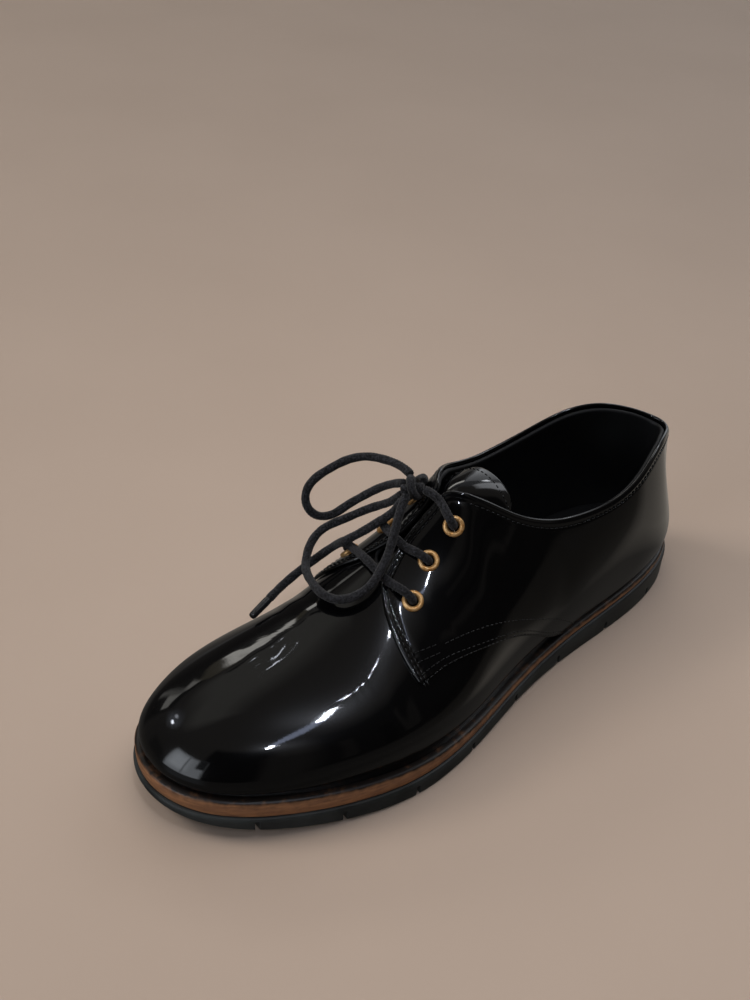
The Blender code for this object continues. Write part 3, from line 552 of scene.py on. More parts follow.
def creased(points, creases):
    """How far soft troughs lower the surface, from x and y. The leather stands up a little beside them."""
    lowered, flat = np.zeros(points.shape[:-1]), points[..., :2]
    for line, depth, half in creases:
        path = spline(np.arange(len(line)), line, np.linspace(0, len(line) - 1, 60))
        near = ((flat > path.min(axis=0) - 5 * half) & (flat < path.max(axis=0) + 5 * half)).all(axis=-1)
        gap = np.linalg.norm(flat[near][:, None] - path, axis=-1)
        fade = np.sin(math.pi * (gap.argmin(axis=-1) + 1) / 61) ** 0.7
        gap = gap.min(axis=-1)
        lowered[near] += depth * fade * (0.35 * swelling(gap - 2.2 * half, half) - swelling(gap, half))
    return lowered


# Patent leather: black leather under a thick clear polyurethane coat. The coat mirrors the room, and its fine
# ripples and the leather's slow swell make the mirror image run in wavy lines.
patent, tree, shader, place = new_material("patent_leather")
swell = add_node(tree, "TexNoise", {"Vector": place, "Scale": 1 / (16 * MM), "Detail": 1})
drawn = add_node(tree, "Mapping", {"Vector": place, "Scale": (1, 0.22, 0.5)})
ripple = add_node(tree, "TexNoise", {"Vector": drawn, "Scale": 1 / (0.6 * MM)})
swollen = add_node(tree, "Bump", {"Height": swell, "Distance": 0.03 * MM})
relief = add_node(tree, "Bump", {"Height": ripple, "Distance": 0.0045 * MM, "Normal": swollen})
feed(shader, {"Base Color": linear("#040405"), "Roughness": 0.22, "IOR": 1.45, "Specular IOR Level": 0.08})
feed(shader, {"Coat Weight": 1, "Coat Roughness": 0.035, "Normal": relief, "Coat Normal": relief})

# Sections lie closer together towards heel and toe, and one falls on the foot of the throat.
even = np.linspace(0, 1, UPPER_STATIONS + 1)
shares = (even + np.arccos(1 - 2 * even) / math.pi) / 2
throat = int(np.argmin(abs(shares - share_of(THROAT))))
shares[throat] = share_of(THROAT)
points, grids = [], []
for side in (OUTER, INNER):
    # The upper's own edge closes across the ridge at the throat.
    x = foot_x(side, shares)
    edge = np.where(x > FACING_END, 1, edge_line(side, shares, UNDER / 2 + WALL / 2, UNDER))
    edge += (1 - edge) * np.clip((x - THROAT + THROAT_CLOSES) / THROAT_CLOSES, 0, 1) ** 2
    rise = edge[:, None] * np.linspace(0, 1, UPPER_ROWS + 1)
    skin = form(side, shares[:, None], rise)
    skin = form(side, shares[:, None], rise, creased(skin, CREASES))
    flesh = form(side, shares[:, None], rise, -WALL)
    # The cut edge at the top is rounded over.
    middle, half = (skin[:, -1] + flesh[:, -1]) / 2, (skin[:, -1] - flesh[:, -1]) / 2
    upwards = skin[:, -1] - skin[:, -2]
    upwards *= WALL / 2 / np.maximum(np.linalg.norm(upwards, axis=-1, keepdims=True), 1e-9)
    rim = [middle + half * math.cos(a) + upwards * math.sin(a) for a in (0.6, 1.1, 1.57, 2.04, 2.54)]
    for grid in (skin, flesh, np.stack(rim, 1)):
        start = sum(len(p) for p in points)
        grids.append(np.arange(start, start + grid.size // 3).reshape(grid.shape[:2]))
        points.append(grid.reshape(-1, 3))
for ours, theirs in zip(grids[:2], grids[3:]):
    theirs[[0, -1]] = ours[[0, -1]]
    theirs[throat:, -1] = ours[throat:, -1]
faces, finish_of = [], []
for skin, flesh, rim in (grids[:3], grids[3:]):
    ladder = np.column_stack([skin[:, -1], rim, flesh[:, -1]])[: throat + 1]
    foot = np.stack([skin[:, 0], flesh[:, 0]], -1)
    for grid, finish in ((skin, 0), (flesh, 1), (foot, 1), (ladder, 1)):
        more = grid_faces(grid)
        faces += more
        finish_of += [finish] * len(more)
points = np.concatenate(points)
piece("upper_leather", points, faces, [patent, lining], ["upper"], "patent_black", finish_of=finish_of)

# ---------------------------------------- quarters
# Two quarters of the same leather lie on the upper and meet at the back seam. Their edges are folded and
# rounded. Their seams are sewn with black thread that draws the leather down between the stitches.

QUARTER_LIFT, QUARTER_THICK = 0.5, 1.1
QUARTER_FOOT, QUARTER_TIP = 91, 174.6
# x and height above the midsole of the seam at a quarter's foot.
QUARTER_SEAM = (
    (QUARTER_FOOT, 0), (98, 4.2), (115, 17.4), (134, 27), (150, 30.2), (162, 29.8), (QUARTER_TIP, 27.2),
)
QUARTER_FRONT_BOW = 2.8
BACK_SEAM_SHARE = 0.0013  # half the gap of the back seam
SKIN = QUARTER_LIFT + QUARTER_THICK  # the quarters' outer face, out from the last
EDGE_ROUND = 0.7  # radius of a folded edge
STITCH_PITCH = 2.3
FACING_ROWS = (1.6, 3)  # the two rows of stitches, in from the edge of the facing
COLLAR_ROW = 2.6
QUARTER_STATIONS, QUARTER_ROWS = 240, 84
PULL_FROM = 118  # where a quarter's columns begin to lean towards its front edge
# Folds where the quarters have flexed: x and height from the side, depth and half-width.
OUTER_FOLDS = (
    (((110, 72), (116, 63), (129, 56), (141, 52)), 0.45, 4),
    (((121, 70), (131, 62.5), (143, 56.5), (153, 51.5)), 0.3, 3.2),
    (((97, 66), (94.5, 50), (96.5, 33)), 0.25, 5),
    (((149, 68), (153.7, 62.8), (158, 57)), -0.1, 2.4),
)
INNER_FOLDS = ((((112, 70), (120, 60), (134, 52)), 0.35, 4), (((96, 62), (98, 46), (104, 32)), 0.25, 5))


def locate(side, x, z):
    """Share and rise of the point of a quarter that shows at x and z from the side, by Newton's steps."""
    share = share_of(np.clip(x, WELT_SHOWS + 1, LENGTH - WELT_SHOWS - 1))
    rise = np.full_like(share, 0.45)
    small = 1e-3
    for _ in range(16):
        here = form(side, share, rise, SKIN)
        by_share = (form(side, share + small, rise, SKIN) - here) / small
        by_rise = (form(side, share, rise + small, SKIN) - here) / small
        off_x, off_z = x - here[..., 0], z - here[..., 2]
        turn = by_share[..., 0] * by_rise[..., 2] - by_share[..., 2] * by_rise[..., 0]
        share = share + np.clip((off_x * by_rise[..., 2] - off_z * by_rise[..., 0]) / turn, -0.04, 0.04)
        rise = rise + np.clip((by_share[..., 0] * off_z - by_share[..., 2] * off_x) / turn, -0.12, 0.12)
        share, rise = np.clip(share, 0.002, 0.998), np.clip(rise, 0, 0.99)
    return share, rise


def seam_height(x, above=0):
    """Height of the seam at a quarter's foot."""
    return floor_of_shoe(x) + np.maximum(column(QUARTER_SEAM, x), 0) + above


def front_curve(side, up, back):
    """Share and rise along a line back from a quarter's front edge, from its tip, 0, to the facing, 1."""
    corner_share = share_of(FACING_END)
    corner = form(side, corner_share, facing_rise(side, corner_share, 0), SKIN)
    x = QUARTER_TIP * (1 - up) + corner[0] * up + QUARTER_FRONT_BOW * 4 * up * (1 - up) - back
    return locate(side, x, seam_height(QUARTER_TIP) * (1 - up) + corner[2] * up)


def closer_at_ends(count, near):
    """Steps from 0 to 1 that are closer together at both ends."""
    even = np.linspace(0, 1, count + 1)
    return even * (1 - near) + near * (1 - np.cos(math.pi * even)) / 2


def quarter_grid(side):
    """Share and rise over a quarter: rows from its foot to its top edge, columns from back seam to front."""
    up = closer_at_ends(QUARTER_ROWS, 0.75)
    last = share_of(FACING_END)
    base = BACK_SEAM_SHARE + (last - BACK_SEAM_SHARE) * closer_at_ends(QUARTER_STATIONS, 0.35)
    front_share, front_rise = front_curve(side, up, EDGE_ROUND)
    base = base * (front_share[-1] / last)
    x = foot_x(side, base)
    pull = eased((x - PULL_FROM) / (x[-1] - PULL_FROM))[:, None]
    share = base[:, None] + pull * (front_share - front_share[-1])
    low = rise_where(side, share[:, 0], lambda p: p[..., 2] >= seam_height(p[..., 0], EDGE_ROUND))
    low = np.where(foot_x(side, share[:, 0]) > QUARTER_FOOT - 4, low, 0)
    top = edge_line(side, share[:, -1], EDGE_ROUND, EDGE_ROUND)
    bowed = front_rise - (front_rise[0] * (1 - up) + front_rise[-1] * up)
    return share, low[:, None] * (1 - up) + top[:, None] * up + pull * bowed


def seam_relief(face):
    """How the sewn edges shape a quarter's leather: a rolled top line, and troughs under the rows of
    stitches, deepest at each needle hole."""
    down, back = lengths(face.swapaxes(0, 1)).T, lengths(face)
    from_top, from_front = down[:, -1:] - down, back[-1] - back
    facing = np.clip((face[..., 0] - TOP_LINE_ENDS) / 6, 0, 1)  # 0 along the top line, 1 along the facing
    inset = np.minimum(np.where(facing > 0.5, from_top, 1e3), from_front)
    along = np.where(from_front < from_top, from_top, face[..., 0] * 1.2)
    holes = 1 + 0.6 * np.cos(2 * math.pi * along / STITCH_PITCH)
    relief = 0.12 * swelling(inset - sum(FACING_ROWS) / 2, 0.6) - 0.22 * facing * swelling(inset - 3.2, 1.6)
    for row in FACING_ROWS:
        relief -= 0.13 * holes * swelling(inset - row, 0.55)
    collar = 0.32 * swelling(from_top - 1, 0.8) - 0.2 * holes * swelling(from_top - COLLAR_ROW, 0.6)
    return relief + (1 - facing) * collar


def rounded_shell(top, bottom, around=5):
    """Points and faces of a thin piece from the grids of its two faces, with a half-round rim."""
    rows, columns = top.shape[:2]
    index = np.arange(rows * columns).reshape(rows, columns)
    rim = np.concatenate([index[:, 0], index[-1, 1:], index[-2::-1, -1], index[0, -2:0:-1]])
    within = np.clip(np.stack(np.divmod(rim, columns)), 1, [[rows - 2], [columns - 2]])
    flat = [top.reshape(-1, 3), bottom.reshape(-1, 3)]
    high, low = flat[0][rim], flat[1][rim]
    middle, half = (high + low) / 2, (high - low) / 2
    away = high - top[tuple(within)]
    for way in (np.roll(high, -1, axis=0) - np.roll(high, 1, axis=0), half):
        away -= way * (away * way).sum(-1, keepdims=True) / (way**2).sum(-1, keepdims=True)
    away = unit(away) * np.linalg.norm(half, axis=-1, keepdims=True)
    turns = [math.pi * step / around for step in range(1, around)]
    arcs = [middle + half * math.cos(a) + away * math.sin(a) for a in turns]
    rings = 2 * index.size + np.arange(len(rim) * len(arcs)).reshape(len(arcs), -1)
    faces = grid_faces(index) + grid_faces(index + index.size)
    faces += grid_faces(np.stack([rim, *rings, rim + index.size]), closed=True)
    return np.concatenate([*flat, *arcs]), faces


for (side, word), folds in zip(SIDES, (OUTER_FOLDS, INNER_FOLDS)):
    share, rise = quarter_grid(side)
    face = form(side, share, rise, SKIN)
    face = form(side, share, rise, SKIN + creased(face[..., [0, 2, 1]], folds) + seam_relief(face))
    shell = rounded_shell(face, form(side, share, rise, SKIN - 2 * EDGE_ROUND))
    piece(f"quarter_{word}_leather", *shell, [patent], [f"quarter_{word}"], "patent_black")

# ---------------------------------------- tongue
# A padded strip of the same leather under the facings. Its free end stands up behind the bow and leans over
# the top line, with a row of stitches just inside its edge.

# The free end: x, half its width, height at the middle, and how far its edges hang.
TONGUE_END = (
    (129, 16, 84.5, 18.2), (124, 16, 85.3, 14.8), (119, 16, 85.1, 12), (114, 15.6, 84.4, 8.6),
    (110.5, 14.6, 83.6, 5.8),
)
TONGUE_THICK, TONGUE_BELOW = 2.2, 1.2
TONGUE_HALF, TONGUE_WIDENS = 14, 3  # half its width at its foot, and what that gains from there
TONGUE_FROM, TONGUE_TO = 173, 138  # the stretch that follows the last
TONGUE_ACROSS, TONGUE_ALONG = 56, 120


def near_ridge(x, y, out):
    """Points out from the last at x and at y to the side of its ridge."""
    y, sides = np.asarray(y, float), []
    for side in (OUTER, INNER):
        share = share_of(x) + 0 * y
        sides.append(form(side, share, rise_at_reach(side, share, lambda _: abs(y)), out))
    return np.where((y >= 0)[..., None], *sides)


def under_facings(x, y, depth):
    """Points across the shoe at x, as far under the quarters as the tongue lies."""
    return near_ridge(x, np.where(abs(y) < 0.01, 0.01, y), -WALL - TONGUE_BELOW - depth)


across = np.sin(np.linspace(-1, 1, TONGUE_ACROSS + 1) * math.pi / 2 * 0.96) / math.sin(math.pi / 2 * 0.96)
high, low = [], []
for x in np.linspace(TONGUE_FROM, TONGUE_TO, 7):
    reach = across * (TONGUE_HALF + TONGUE_WIDENS * min(1, (TONGUE_FROM - x) / 14))
    high.append(under_facings(x, reach, 0))
    low.append(under_facings(x, reach, TONGUE_THICK))
for x, reach, middle, hang in TONGUE_END:
    y = across * reach
    top = np.stack([x + 0 * y, y, middle - hang * across**2], -1)
    if x > 128:
        top[:, 2] = np.minimum(top[:, 2], under_facings(x, y, 0)[:, 2])
    high.append(top)
    low.append(top - TONGUE_THICK * unit(np.stack([0.12 + 0 * y, 2 * hang * across / reach, 1 + 0 * y], -1)))
high, low = np.array(high), np.array(low)
length = lengths(high[:, len(across) // 2])
along = length[-1] * closer_at_ends(TONGUE_ALONG, 0.4)
high, low = spline(length, high, along), spline(length, low, along)
# The free end's corners are rounded.
from_end = length[-1] - along
corner = (np.clip(1 - from_end / 6, 0, 1) ** 2 * 2.4)[:, None]
for face in (high, low):
    face[..., 1] *= 1 - corner * np.abs(across) ** 3 / 16
piece("tongue_leather", *rounded_shell(high, low), [patent], ["tongue"], "patent_black")

# ---------------------------------------- eyelets
# Six brass eyelets, three in each facing. Each was pressed through the leather from outside, and its flange
# is rolled into a smooth ring.

# x and distance from the middle, from the top row down.
EYELETS = ((137.3, 10.6), (149.6, 12.2), (161.6, 18.6))
EYELET_HOLE = 2.75
EYELET_ROUND, PUNCH_ROUND = 56, 32
# Sections of an eyelet and of the punch: radius, and height above the leather.
EYELET_SECTION = (
    (2.12, -2.8), (2.09, -0.4), (2.07, 0.25), (2.11, 0.52), (2.2, 0.74), (2.36, 0.95), (2.56, 1.1),
    (2.8, 1.2), (3.05, 1.23), (3.3, 1.2), (3.54, 1.1), (3.75, 0.95), (3.9, 0.74), (4, 0.5), (4.03, 0.25),
    (3.96, -0.08), (3.3, -0.2), (2.6, -0.2), (2.6, -2.8), (2.12, -2.8),
)
PUNCH_SECTION = ((0, -4.5), (EYELET_HOLE, -4.5), (EYELET_HOLE, 3), (0, 3))


def eyelet_place(side, row):
    """Where an eyelet stands on the quarter, and the way out of the leather there."""
    x, reach = EYELETS[row]
    skin = near_ridge(x, side * reach, SKIN)
    return skin, unit(skin - near_ridge(x, side * reach, 0))


def turned(section, middle, axis, count):
    """Points and faces of a ring turned about axis. Its section gives radius and height along the axis."""
    first = unit(np.cross(axis, (0, 0, 1) if abs(axis[2]) < 0.9 else (1, 0, 0)))
    angle = np.linspace(0, 2 * math.pi, count, endpoint=False)[:, None]
    section = np.array(section)
    radial = np.cos(angle) * first + np.sin(angle) * np.cross(axis, first)
    points = middle + radial[:, None] * section[:, :1] + axis * section[:, 1:]
    index = np.arange(count * len(section)).reshape(count, -1)
    return points.reshape(-1, 3), grid_faces(index.T, closed=True)


# Brass: plated and polished. Handling has left faint clouds, and the gloss dulls a little there.
brass, tree, shader, place = new_material("polished_brass")
clouds = add_node(tree, "TexNoise", {"Vector": place, "Scale": 1 / (1.6 * MM), "Detail": 3})
tint = add_node(tree, "ValToRGB", {"Fac": clouds}, ((0.35, "#c48c4c"), (0.7, "#ecc48c")))
dull = add_node(tree, "MapRange", {"Value": clouds, "To Min": 0.3, "To Max": 0.44})
feed(shader, {"Base Color": tint, "Roughness": dull, "Metallic": 0.6})

for side, word in SIDES:
    places = [eyelet_place(side, row) for row in range(len(EYELETS))]
    for row, (skin, outwards) in enumerate(places, 1):
        node = f"eyelet_{word}_{row}"
        ring = turned(EYELET_SECTION, skin, outwards, EYELET_ROUND)
        piece(f"{node}_ring", *ring, [brass], [node], "brass", 50)
    holes = together([turned(PUNCH_SECTION, *there, PUNCH_ROUND) for there in places])
    for target in (f"quarter_{word}_leather", "upper_leather"):
        cut_with(bpy.data.objects[target], solid("punch", *holes), 60)

# ---------------------------------------- stitches
# Black bonded thread, about ten stitches in an inch. One row runs below the top line, two down each facing
# and front edge, and three above the seam at a quarter's foot. Two short rows hold its front corner.

THREAD = 0.42
STITCH_GAP = 0.55
STITCH_ROUND = 8
TONGUE_ROW, TONGUE_ROW_FROM = 2.4, 126  # in from the tongue's free end, and the x at which it starts
# Along a stitch: share of its length, how far it stands out, and its thickness as a share of the thread's.
STITCH = (
    (0, -0.34, 0.6), (0.08, -0.12, 0.9), (0.25, 0.05, 1), (0.5, 0.1, 1), (0.75, 0.05, 1), (0.92, -0.12, 0.9),
    (1, -0.34, 0.6),
)
# The highest row above each lower seam: x and height from the side.
UPPER_ROW = ((159, 48.9), (146.3, 49.3), (132.1, 46.4), (115.3, 38.6), (98, 28.2), (84.5, 16.6))


def line_on(side, share, rise):
    """Points of a line on a quarter, and the way out of the leather at each."""
    points = form(side, share, rise, SKIN)
    return points, unit(form(side, share, rise, SKIN + 1) - points)


def read(at, length, line):
    """The points that lie at some lengths along a line."""
    return np.stack([np.interp(at, length, line[:, k]) for k in range(3)], -1)


def tube(middle, first, second, angle, radius):
    """Points and faces of a tube with flat ends. first and second are the two directions across it."""
    ring = np.cos(angle)[..., None] * first[:, None] + np.sin(angle)[..., None] * second[:, None]
    points = middle[:, None] + radius[..., None] * ring
    index = np.arange(points.size // 3).reshape(points.shape[:2])
    return points.reshape(-1, 3), grid_faces(index, closed=True) + [index[0].tolist(), index[-1].tolist()]


def sewn(rows):
    """Points and faces of all stitches of some rows. A stitch rises between its two holes."""
    stitches = []
    angle = 2 * math.pi * np.arange(STITCH_ROUND)[None, :] / STITCH_ROUND
    share, stands, thick = np.array(STITCH).T[..., None]
    for line, outwards in rows:
        length = lengths(line)
        count = max(1, int(round(length[-1] / STITCH_PITCH)))
        pitch = length[-1] / count
        for i in range(count):
            at = i * pitch + STITCH_GAP / 2 + (pitch - STITCH_GAP) * share[:, 0]
            middle, away = read(at, length, line), unit(read(at, length, outwards))
            across = np.cross(away, unit(middle[-1] - middle[0]))
            stitches.append(tube(middle + away * stands, across, away, angle, thick * THREAD / 2))
    return together(stitches)


# Bonded thread: black polyester with a hard shiny bond. Its twist shows as fine slanting ribs.
thread, tree, shader, place = new_material("bonded_thread")
twist = add_node(tree, "TexWave", {"Vector": place, "Scale": 1 / (2.2 * MM), "Distortion": 1.5})
tint = add_node(tree, "ValToRGB", {"Fac": twist.outputs["Fac"]}, ((0, "#060606"), (1, "#131314")))
relief = {"Height": twist.outputs["Fac"], "Strength": 0.5, "Distance": 0.05 * MM}
feed(shader, {"Base Color": tint, "Roughness": 0.3, "Normal": add_node(tree, "Bump", relief)})


def sewn_front(side, inset):
    """A row inside a quarter's edge, down the facing and the front edge."""
    shares = np.linspace(share_of(127), share_of(FACING_END + 8), 400)
    facing, outwards = line_on(side, shares, np.minimum(facing_rise(side, shares, inset), 1))
    front, more_outwards = line_on(side, *front_curve(side, np.linspace(0.99, 0.03, 120), inset))
    # The row turns where the two lines meet.
    gaps = np.linalg.norm(facing[:, None] - front[None, :40], axis=-1)
    i, j = np.unravel_index(gaps.argmin(), gaps.shape)
    first = int(np.argmax(facing[:, 2] < column(TOP_LINE, facing[:, 0]) - inset - 0.6))
    outwards = np.concatenate([outwards[first:i], more_outwards[j:]])
    return np.concatenate([facing[first:i], front[j:]]), outwards


def side_row(side, places):
    """A row through places given by x and height from the side."""
    x, z = spline(np.arange(len(places)), places, np.linspace(0, len(places) - 1, 160)).T
    return line_on(side, *locate(side, x, z))


for side, word in SIDES:
    rows = [sewn_front(side, inset) for inset in FACING_ROWS]
    shares = np.linspace(BACK_SEAM_SHARE * 2, share_of(FACING_TOP - 1), 500)
    rows.append(line_on(side, shares, edge_line(side, shares, COLLAR_ROW + 0.8, 2)))
    seam_x = np.linspace(QUARTER_FOOT + 1.5, QUARTER_TIP - 2, 12)
    tip = seam_height(QUARTER_TIP - 3)
    for places in (
        *(np.stack([seam_x, seam_height(seam_x, above)], -1) for above in (1.4, 2.9)),
        UPPER_ROW,
        ((171.6, tip + 5.2), (161.5, tip + 5.6)),
        ((170.9, tip + 7), (161.5, tip + 7.4)),
    ):
        rows.append(side_row(side, places))
    piece(f"stitches_{word}", *sewn(rows), [thread], (), "lace_black")

# A row just inside the tongue's free end, from one edge to the other.
row = int(np.argmin(abs(from_end - TONGUE_ROW)))
sides = [high[: row + 1, 4], high[row::-1, -5]]
first, last = (edge[edge[:, 0] < TONGUE_ROW_FROM] for edge in sides)
line = np.concatenate([first, high[row, 5:-5], last])
y = line[:, 1]
_, half, _, hang = TONGUE_END[2]
outwards = np.stack([0.05 + 0 * y, 2 * hang * y / half**2, 1 + 0 * y], -1)
piece("stitches_tongue", *sewn([(line, unit(outwards))]), [thread], (), "lace_black")

# ---------------------------------------- laces
# One round knitted cotton lace. Two straight bars cross the lower rows, and the top row's strands meet in a
# bow with two loops and two ends. The bow lies towards the toe and the inner side.

LACE = 3.4
KNOT = np.array((143, -7.4, 85.8))
KNOT_AXIS = unit(np.array((0.62, -0.7, -0.28)))
WRAP_RADIUS, WRAP_TURNS, WRAP_PITCH, CORE = 3.3, 1.24, 3.4, 4.2  # the knot's turns, and the loops inside them
LOOP_A = (
    (140.2, -12.2, 87.9), (139.9, -18.4, 87.6), (141.8, -26.6, 86.7), (145.6, -33.5, 85.4),
    (151.4, -37.4, 83.7), (158, -39.3, 81.2), (164, -40.7, 77.9), (168, -40.4, 74.2), (169.4, -39, 70),
    (168.2, -37.4, 65.9), (164.7, -35.8, 63), (160.2, -33.9, 63.2), (155.5, -31.9, 66.4), (149.6, -29.6, 70),
    (144.4, -24.8, 75.4), (142.2, -18, 80.8), (142.4, -12.8, 84.3),
)
LOOP_B = (
    (148.3, -4.2, 86.7), (152.5, -2, 82.8), (156.6, 0.9, 78.8), (160, 3.4, 75.4), (163.8, 5.9, 72),
    (167.6, 7.6, 69), (171.3, 8.7, 66), (175.8, 8.7, 63.2), (180.6, 7.1, 61), (184.8, 3.6, 59.8),
    (186.8, -2.3, 59.2), (185.8, -10.2, 58.2), (182.7, -18.8, 56.4), (178, -25.4, 56.4), (173.6, -28.9, 58.4),
    (168.4, -30.4, 60.8), (163.4, -29.7, 62.6), (158.3, -28.2, 64), (153, -26, 66.2), (148.4, -22.8, 69),
    (145.8, -17.2, 73.8), (144.5, -11.2, 81.2),
)
END_A = (
    (147.4, -7.4, 81.9), (151, -7.8, 77.8), (156.6, -8.4, 75.4), (162.1, -11.5, 70.8), (167, -15, 66.5),
    (168, -22, 58.8), (171.2, -24.6, 54.8), (174.4, -26.3, 51.6), (178.4, -27.4, 48.8), (184, -27.8, 46),
    (190.6, -26.2, 44.8), (196.4, -23.8, 44.6),
)
END_B = (
    (136.8, -8.5, 85.4), (133.9, -12, 83.6), (131.2, -18.2, 77.6), (129.4, -23.4, 71.4), (128.4, -27.2, 64),
    (127.8, -29.4, 55.6), (127.6, -30.2, 47.2),
)
# Points over each crossing bar, x and y, with the row of its eyelets.
BARS = (
    ("lace_bar_low", 2, ((165.4, -9), (166.8, -3), (167, 3), (165.8, 9))),
    ("lace_bar_middle", 1, ((153.8, -4), (154.4, 0), (153.9, 4))),
)
TIP_LENGTH, TIP_ROUND = 10.5, 32
# Section of a tip: radius, and place along it.
TIP_SECTION = (
    (0, -0.4), (1.1, -0.4), (1.45, 0), (1.58, 0.5), (1.6, 1.2), (1.56, 4), (1.5, 8), (1.46, TIP_LENGTH - 0.8),
    (1.3, TIP_LENGTH - 0.25), (0.95, TIP_LENGTH), (0, TIP_LENGTH),
)
CORD_ROUND = 32  # faces round the lace
CORD_STEP = 0.4
STRANDS = 8  # each way round the knitted tube
STITCH_LONG = 3.1  # how far a strand goes along the lace in one turn, as a share of the lace's diameter


def smooth_route(route, spacing):
    """Evenly spaced points of a smooth curve through a route's own points."""
    along = lengths(route)
    curve = spline(along, route, np.linspace(0, along[-1], 600))
    length = lengths(curve)
    return read(np.linspace(0, length[-1], max(3, int(round(length[-1] / spacing)) + 1)), length, curve)


def knitted(route, diameter=LACE):
    """Points and faces of a knitted cord: two sets of strands cross over and under on a round tube."""
    middle = smooth_route(route, CORD_STEP)
    # Two directions across the route are carried along it without twist.
    ahead = unit(np.gradient(middle, axis=0))
    firsts = [unit(np.cross(ahead[0], (0.1, 0.2, 1)))]
    for way in ahead:
        firsts.append(unit(firsts[-1] - way * (firsts[-1] @ way)))
    firsts = np.array(firsts[1:])
    along = lengths(middle)[:, None]
    angle = 2 * math.pi * np.arange(CORD_ROUND)[None, :] / CORD_ROUND
    twist = 2 * math.pi * along / (STITCH_LONG * diameter)
    right, left = STRANDS * (angle + twist), STRANDS * (angle - twist)
    over = np.sin((right + left) / 2) * np.sin((right - left) / 2) > 0
    strands = np.abs(np.cos(np.where(over, right, left) / 2))
    uneven = 0.025 * np.sin(along / 2.3 + 1) + 0.02 * np.sin(along / 0.9 + 2 * angle)
    # Both ends are drawn in a little.
    drawn_in = np.minimum(1, 0.86 + 0.14 * np.minimum(along, along[-1] - along) / 0.8)
    radius = diameter / 2 * (0.82 + 0.21 * strands + uneven) * drawn_in
    return tube(middle, firsts, np.cross(ahead, firsts), angle, radius)


# Cotton lace: matt charcoal, knitted of fluffy yarn. Lint and rubbing mottle it, and its nap catches light at
# grazing angles.
cotton, tree, shader, place = new_material("knitted_cotton")
fluff = {"Vector": place, "Scale": 1 / (0.8 * MM), "Detail": 6, "Roughness": 0.8}
lint = add_node(tree, "TexNoise", fluff)
fibre = add_node(tree, "TexNoise", {"Vector": place, "Scale": 1 / (0.4 * MM), "Detail": 3})
tint = add_node(tree, "ValToRGB", {"Fac": lint}, ((0.45, "#030303"), (0.64, "#3a3a3f")))
relief = add_node(tree, "Bump", {"Height": fibre, "Distance": 0.3 * MM})
feed(shader, {"Base Color": tint, "Roughness": 0.85, "Specular IOR Level": 0.2, "Normal": relief})
feed(shader, {"Sheen Weight": 0.12, "Sheen Roughness": 0.5})


def through_eyelet(side, row, towards):
    """The lace's way out of an eyelet and over its ring, towards a point."""
    skin, outwards = eyelet_place(side, row)
    towards = np.array(towards) - skin
    level = unit(towards - outwards * (towards @ outwards))
    way = ((-2.4, 0.25), (-0.6, 0.1), (1, 0.25), (2.6, 1.3), (3.6, 3.2), (3.3, 5.6))
    return [skin + outwards * up + level * away for up, away in way]


def lace(node, points, faces):
    return piece(f"{node}_cotton", points, faces, [cotton], [node], "lace_black")


for node, row, crossing in BARS:
    middle = [near_ridge(x, y, SKIN + GAP + 0.1 + LACE / 2) for x, y in crossing]
    outer, inner = through_eyelet(OUTER, row, middle[-1]), through_eyelet(INNER, row, middle[0])
    lace(node, *knitted(inner + middle + outer[::-1]))
strand = [(141.3, -2.3, 87.4), (140.3, 1.4, 87), (139.5, 4.6, 85.6)]
lace("lace_top_outer", *knitted(strand + through_eyelet(OUTER, 0, strand[-1])[::-1]))
skin, outwards = eyelet_place(INNER, 0)
lace("lace_top_inner", *knitted([skin + outwards * up for up in (-2.4, 0.6, 3.8)]))

# The knot: the lace wrapped round its own two loops, drawn tight.
across_knot = unit(np.cross(KNOT_AXIS, (0, 0, 1)))
over_knot = np.cross(across_knot, KNOT_AXIS)
turn = np.linspace(-WRAP_TURNS / 2, WRAP_TURNS / 2, 40)[:, None]
radial = across_knot * np.sin(2 * math.pi * turn) + over_knot * np.cos(2 * math.pi * turn)
wrap = KNOT + radial * WRAP_RADIUS + KNOT_AXIS * turn * WRAP_PITCH
core = [KNOT + KNOT_AXIS * at - over_knot * 0.6 for at in (-4.4, -1.5, 1.5, 4.4)]
lace("lace_knot", *together([knitted(wrap), knitted(core, CORE)]))

# Lace tips: the lace's end drawn into a hard shiny black film, which narrows a little towards its end.
film, tree, shader, place = new_material("tip_film")
scuff = add_node(tree, "TexNoise", {"Vector": place, "Scale": 1 / (1.5 * MM), "Detail": 4})
tint = add_node(tree, "ValToRGB", {"Fac": scuff}, ((0, "#0a0a0b"), (1, "#222224")))
dull = add_node(tree, "MapRange", {"Value": scuff, "To Min": 0.15, "To Max": 0.35})
feed(shader, {"Base Color": tint, "Roughness": dull})

# The stiff tips go on straight from the lace's two ends.
for word, route in (("a", END_A), ("b", END_B)):
    end, before = smooth_route(route, 2 * LACE)[[-1, -2]]
    onwards = unit(end - before)
    node = f"lace_tip_{word}"
    tip = turned(TIP_SECTION, end + onwards * GAP, onwards, TIP_ROUND)
    piece(f"{node}_film", *tip, [film], [node], "lace_black", 50)

for word, route in (("loop_a", LOOP_A), ("loop_b", LOOP_B), ("end_a", END_A), ("end_b", END_B)):
    lace(f"lace_{word}", *knitted(route))
    lengths(smooth_route(route, 0.5))[-1] * MM
    [tuple(p) for p in in_row(smooth_route(route, 3))]

# ---------------------------------------- studio
# A pale warm floor, and a room of bright and dark shapes that the gloss mirrors. A strip lamp and two soft
# lights hang over the shoe.

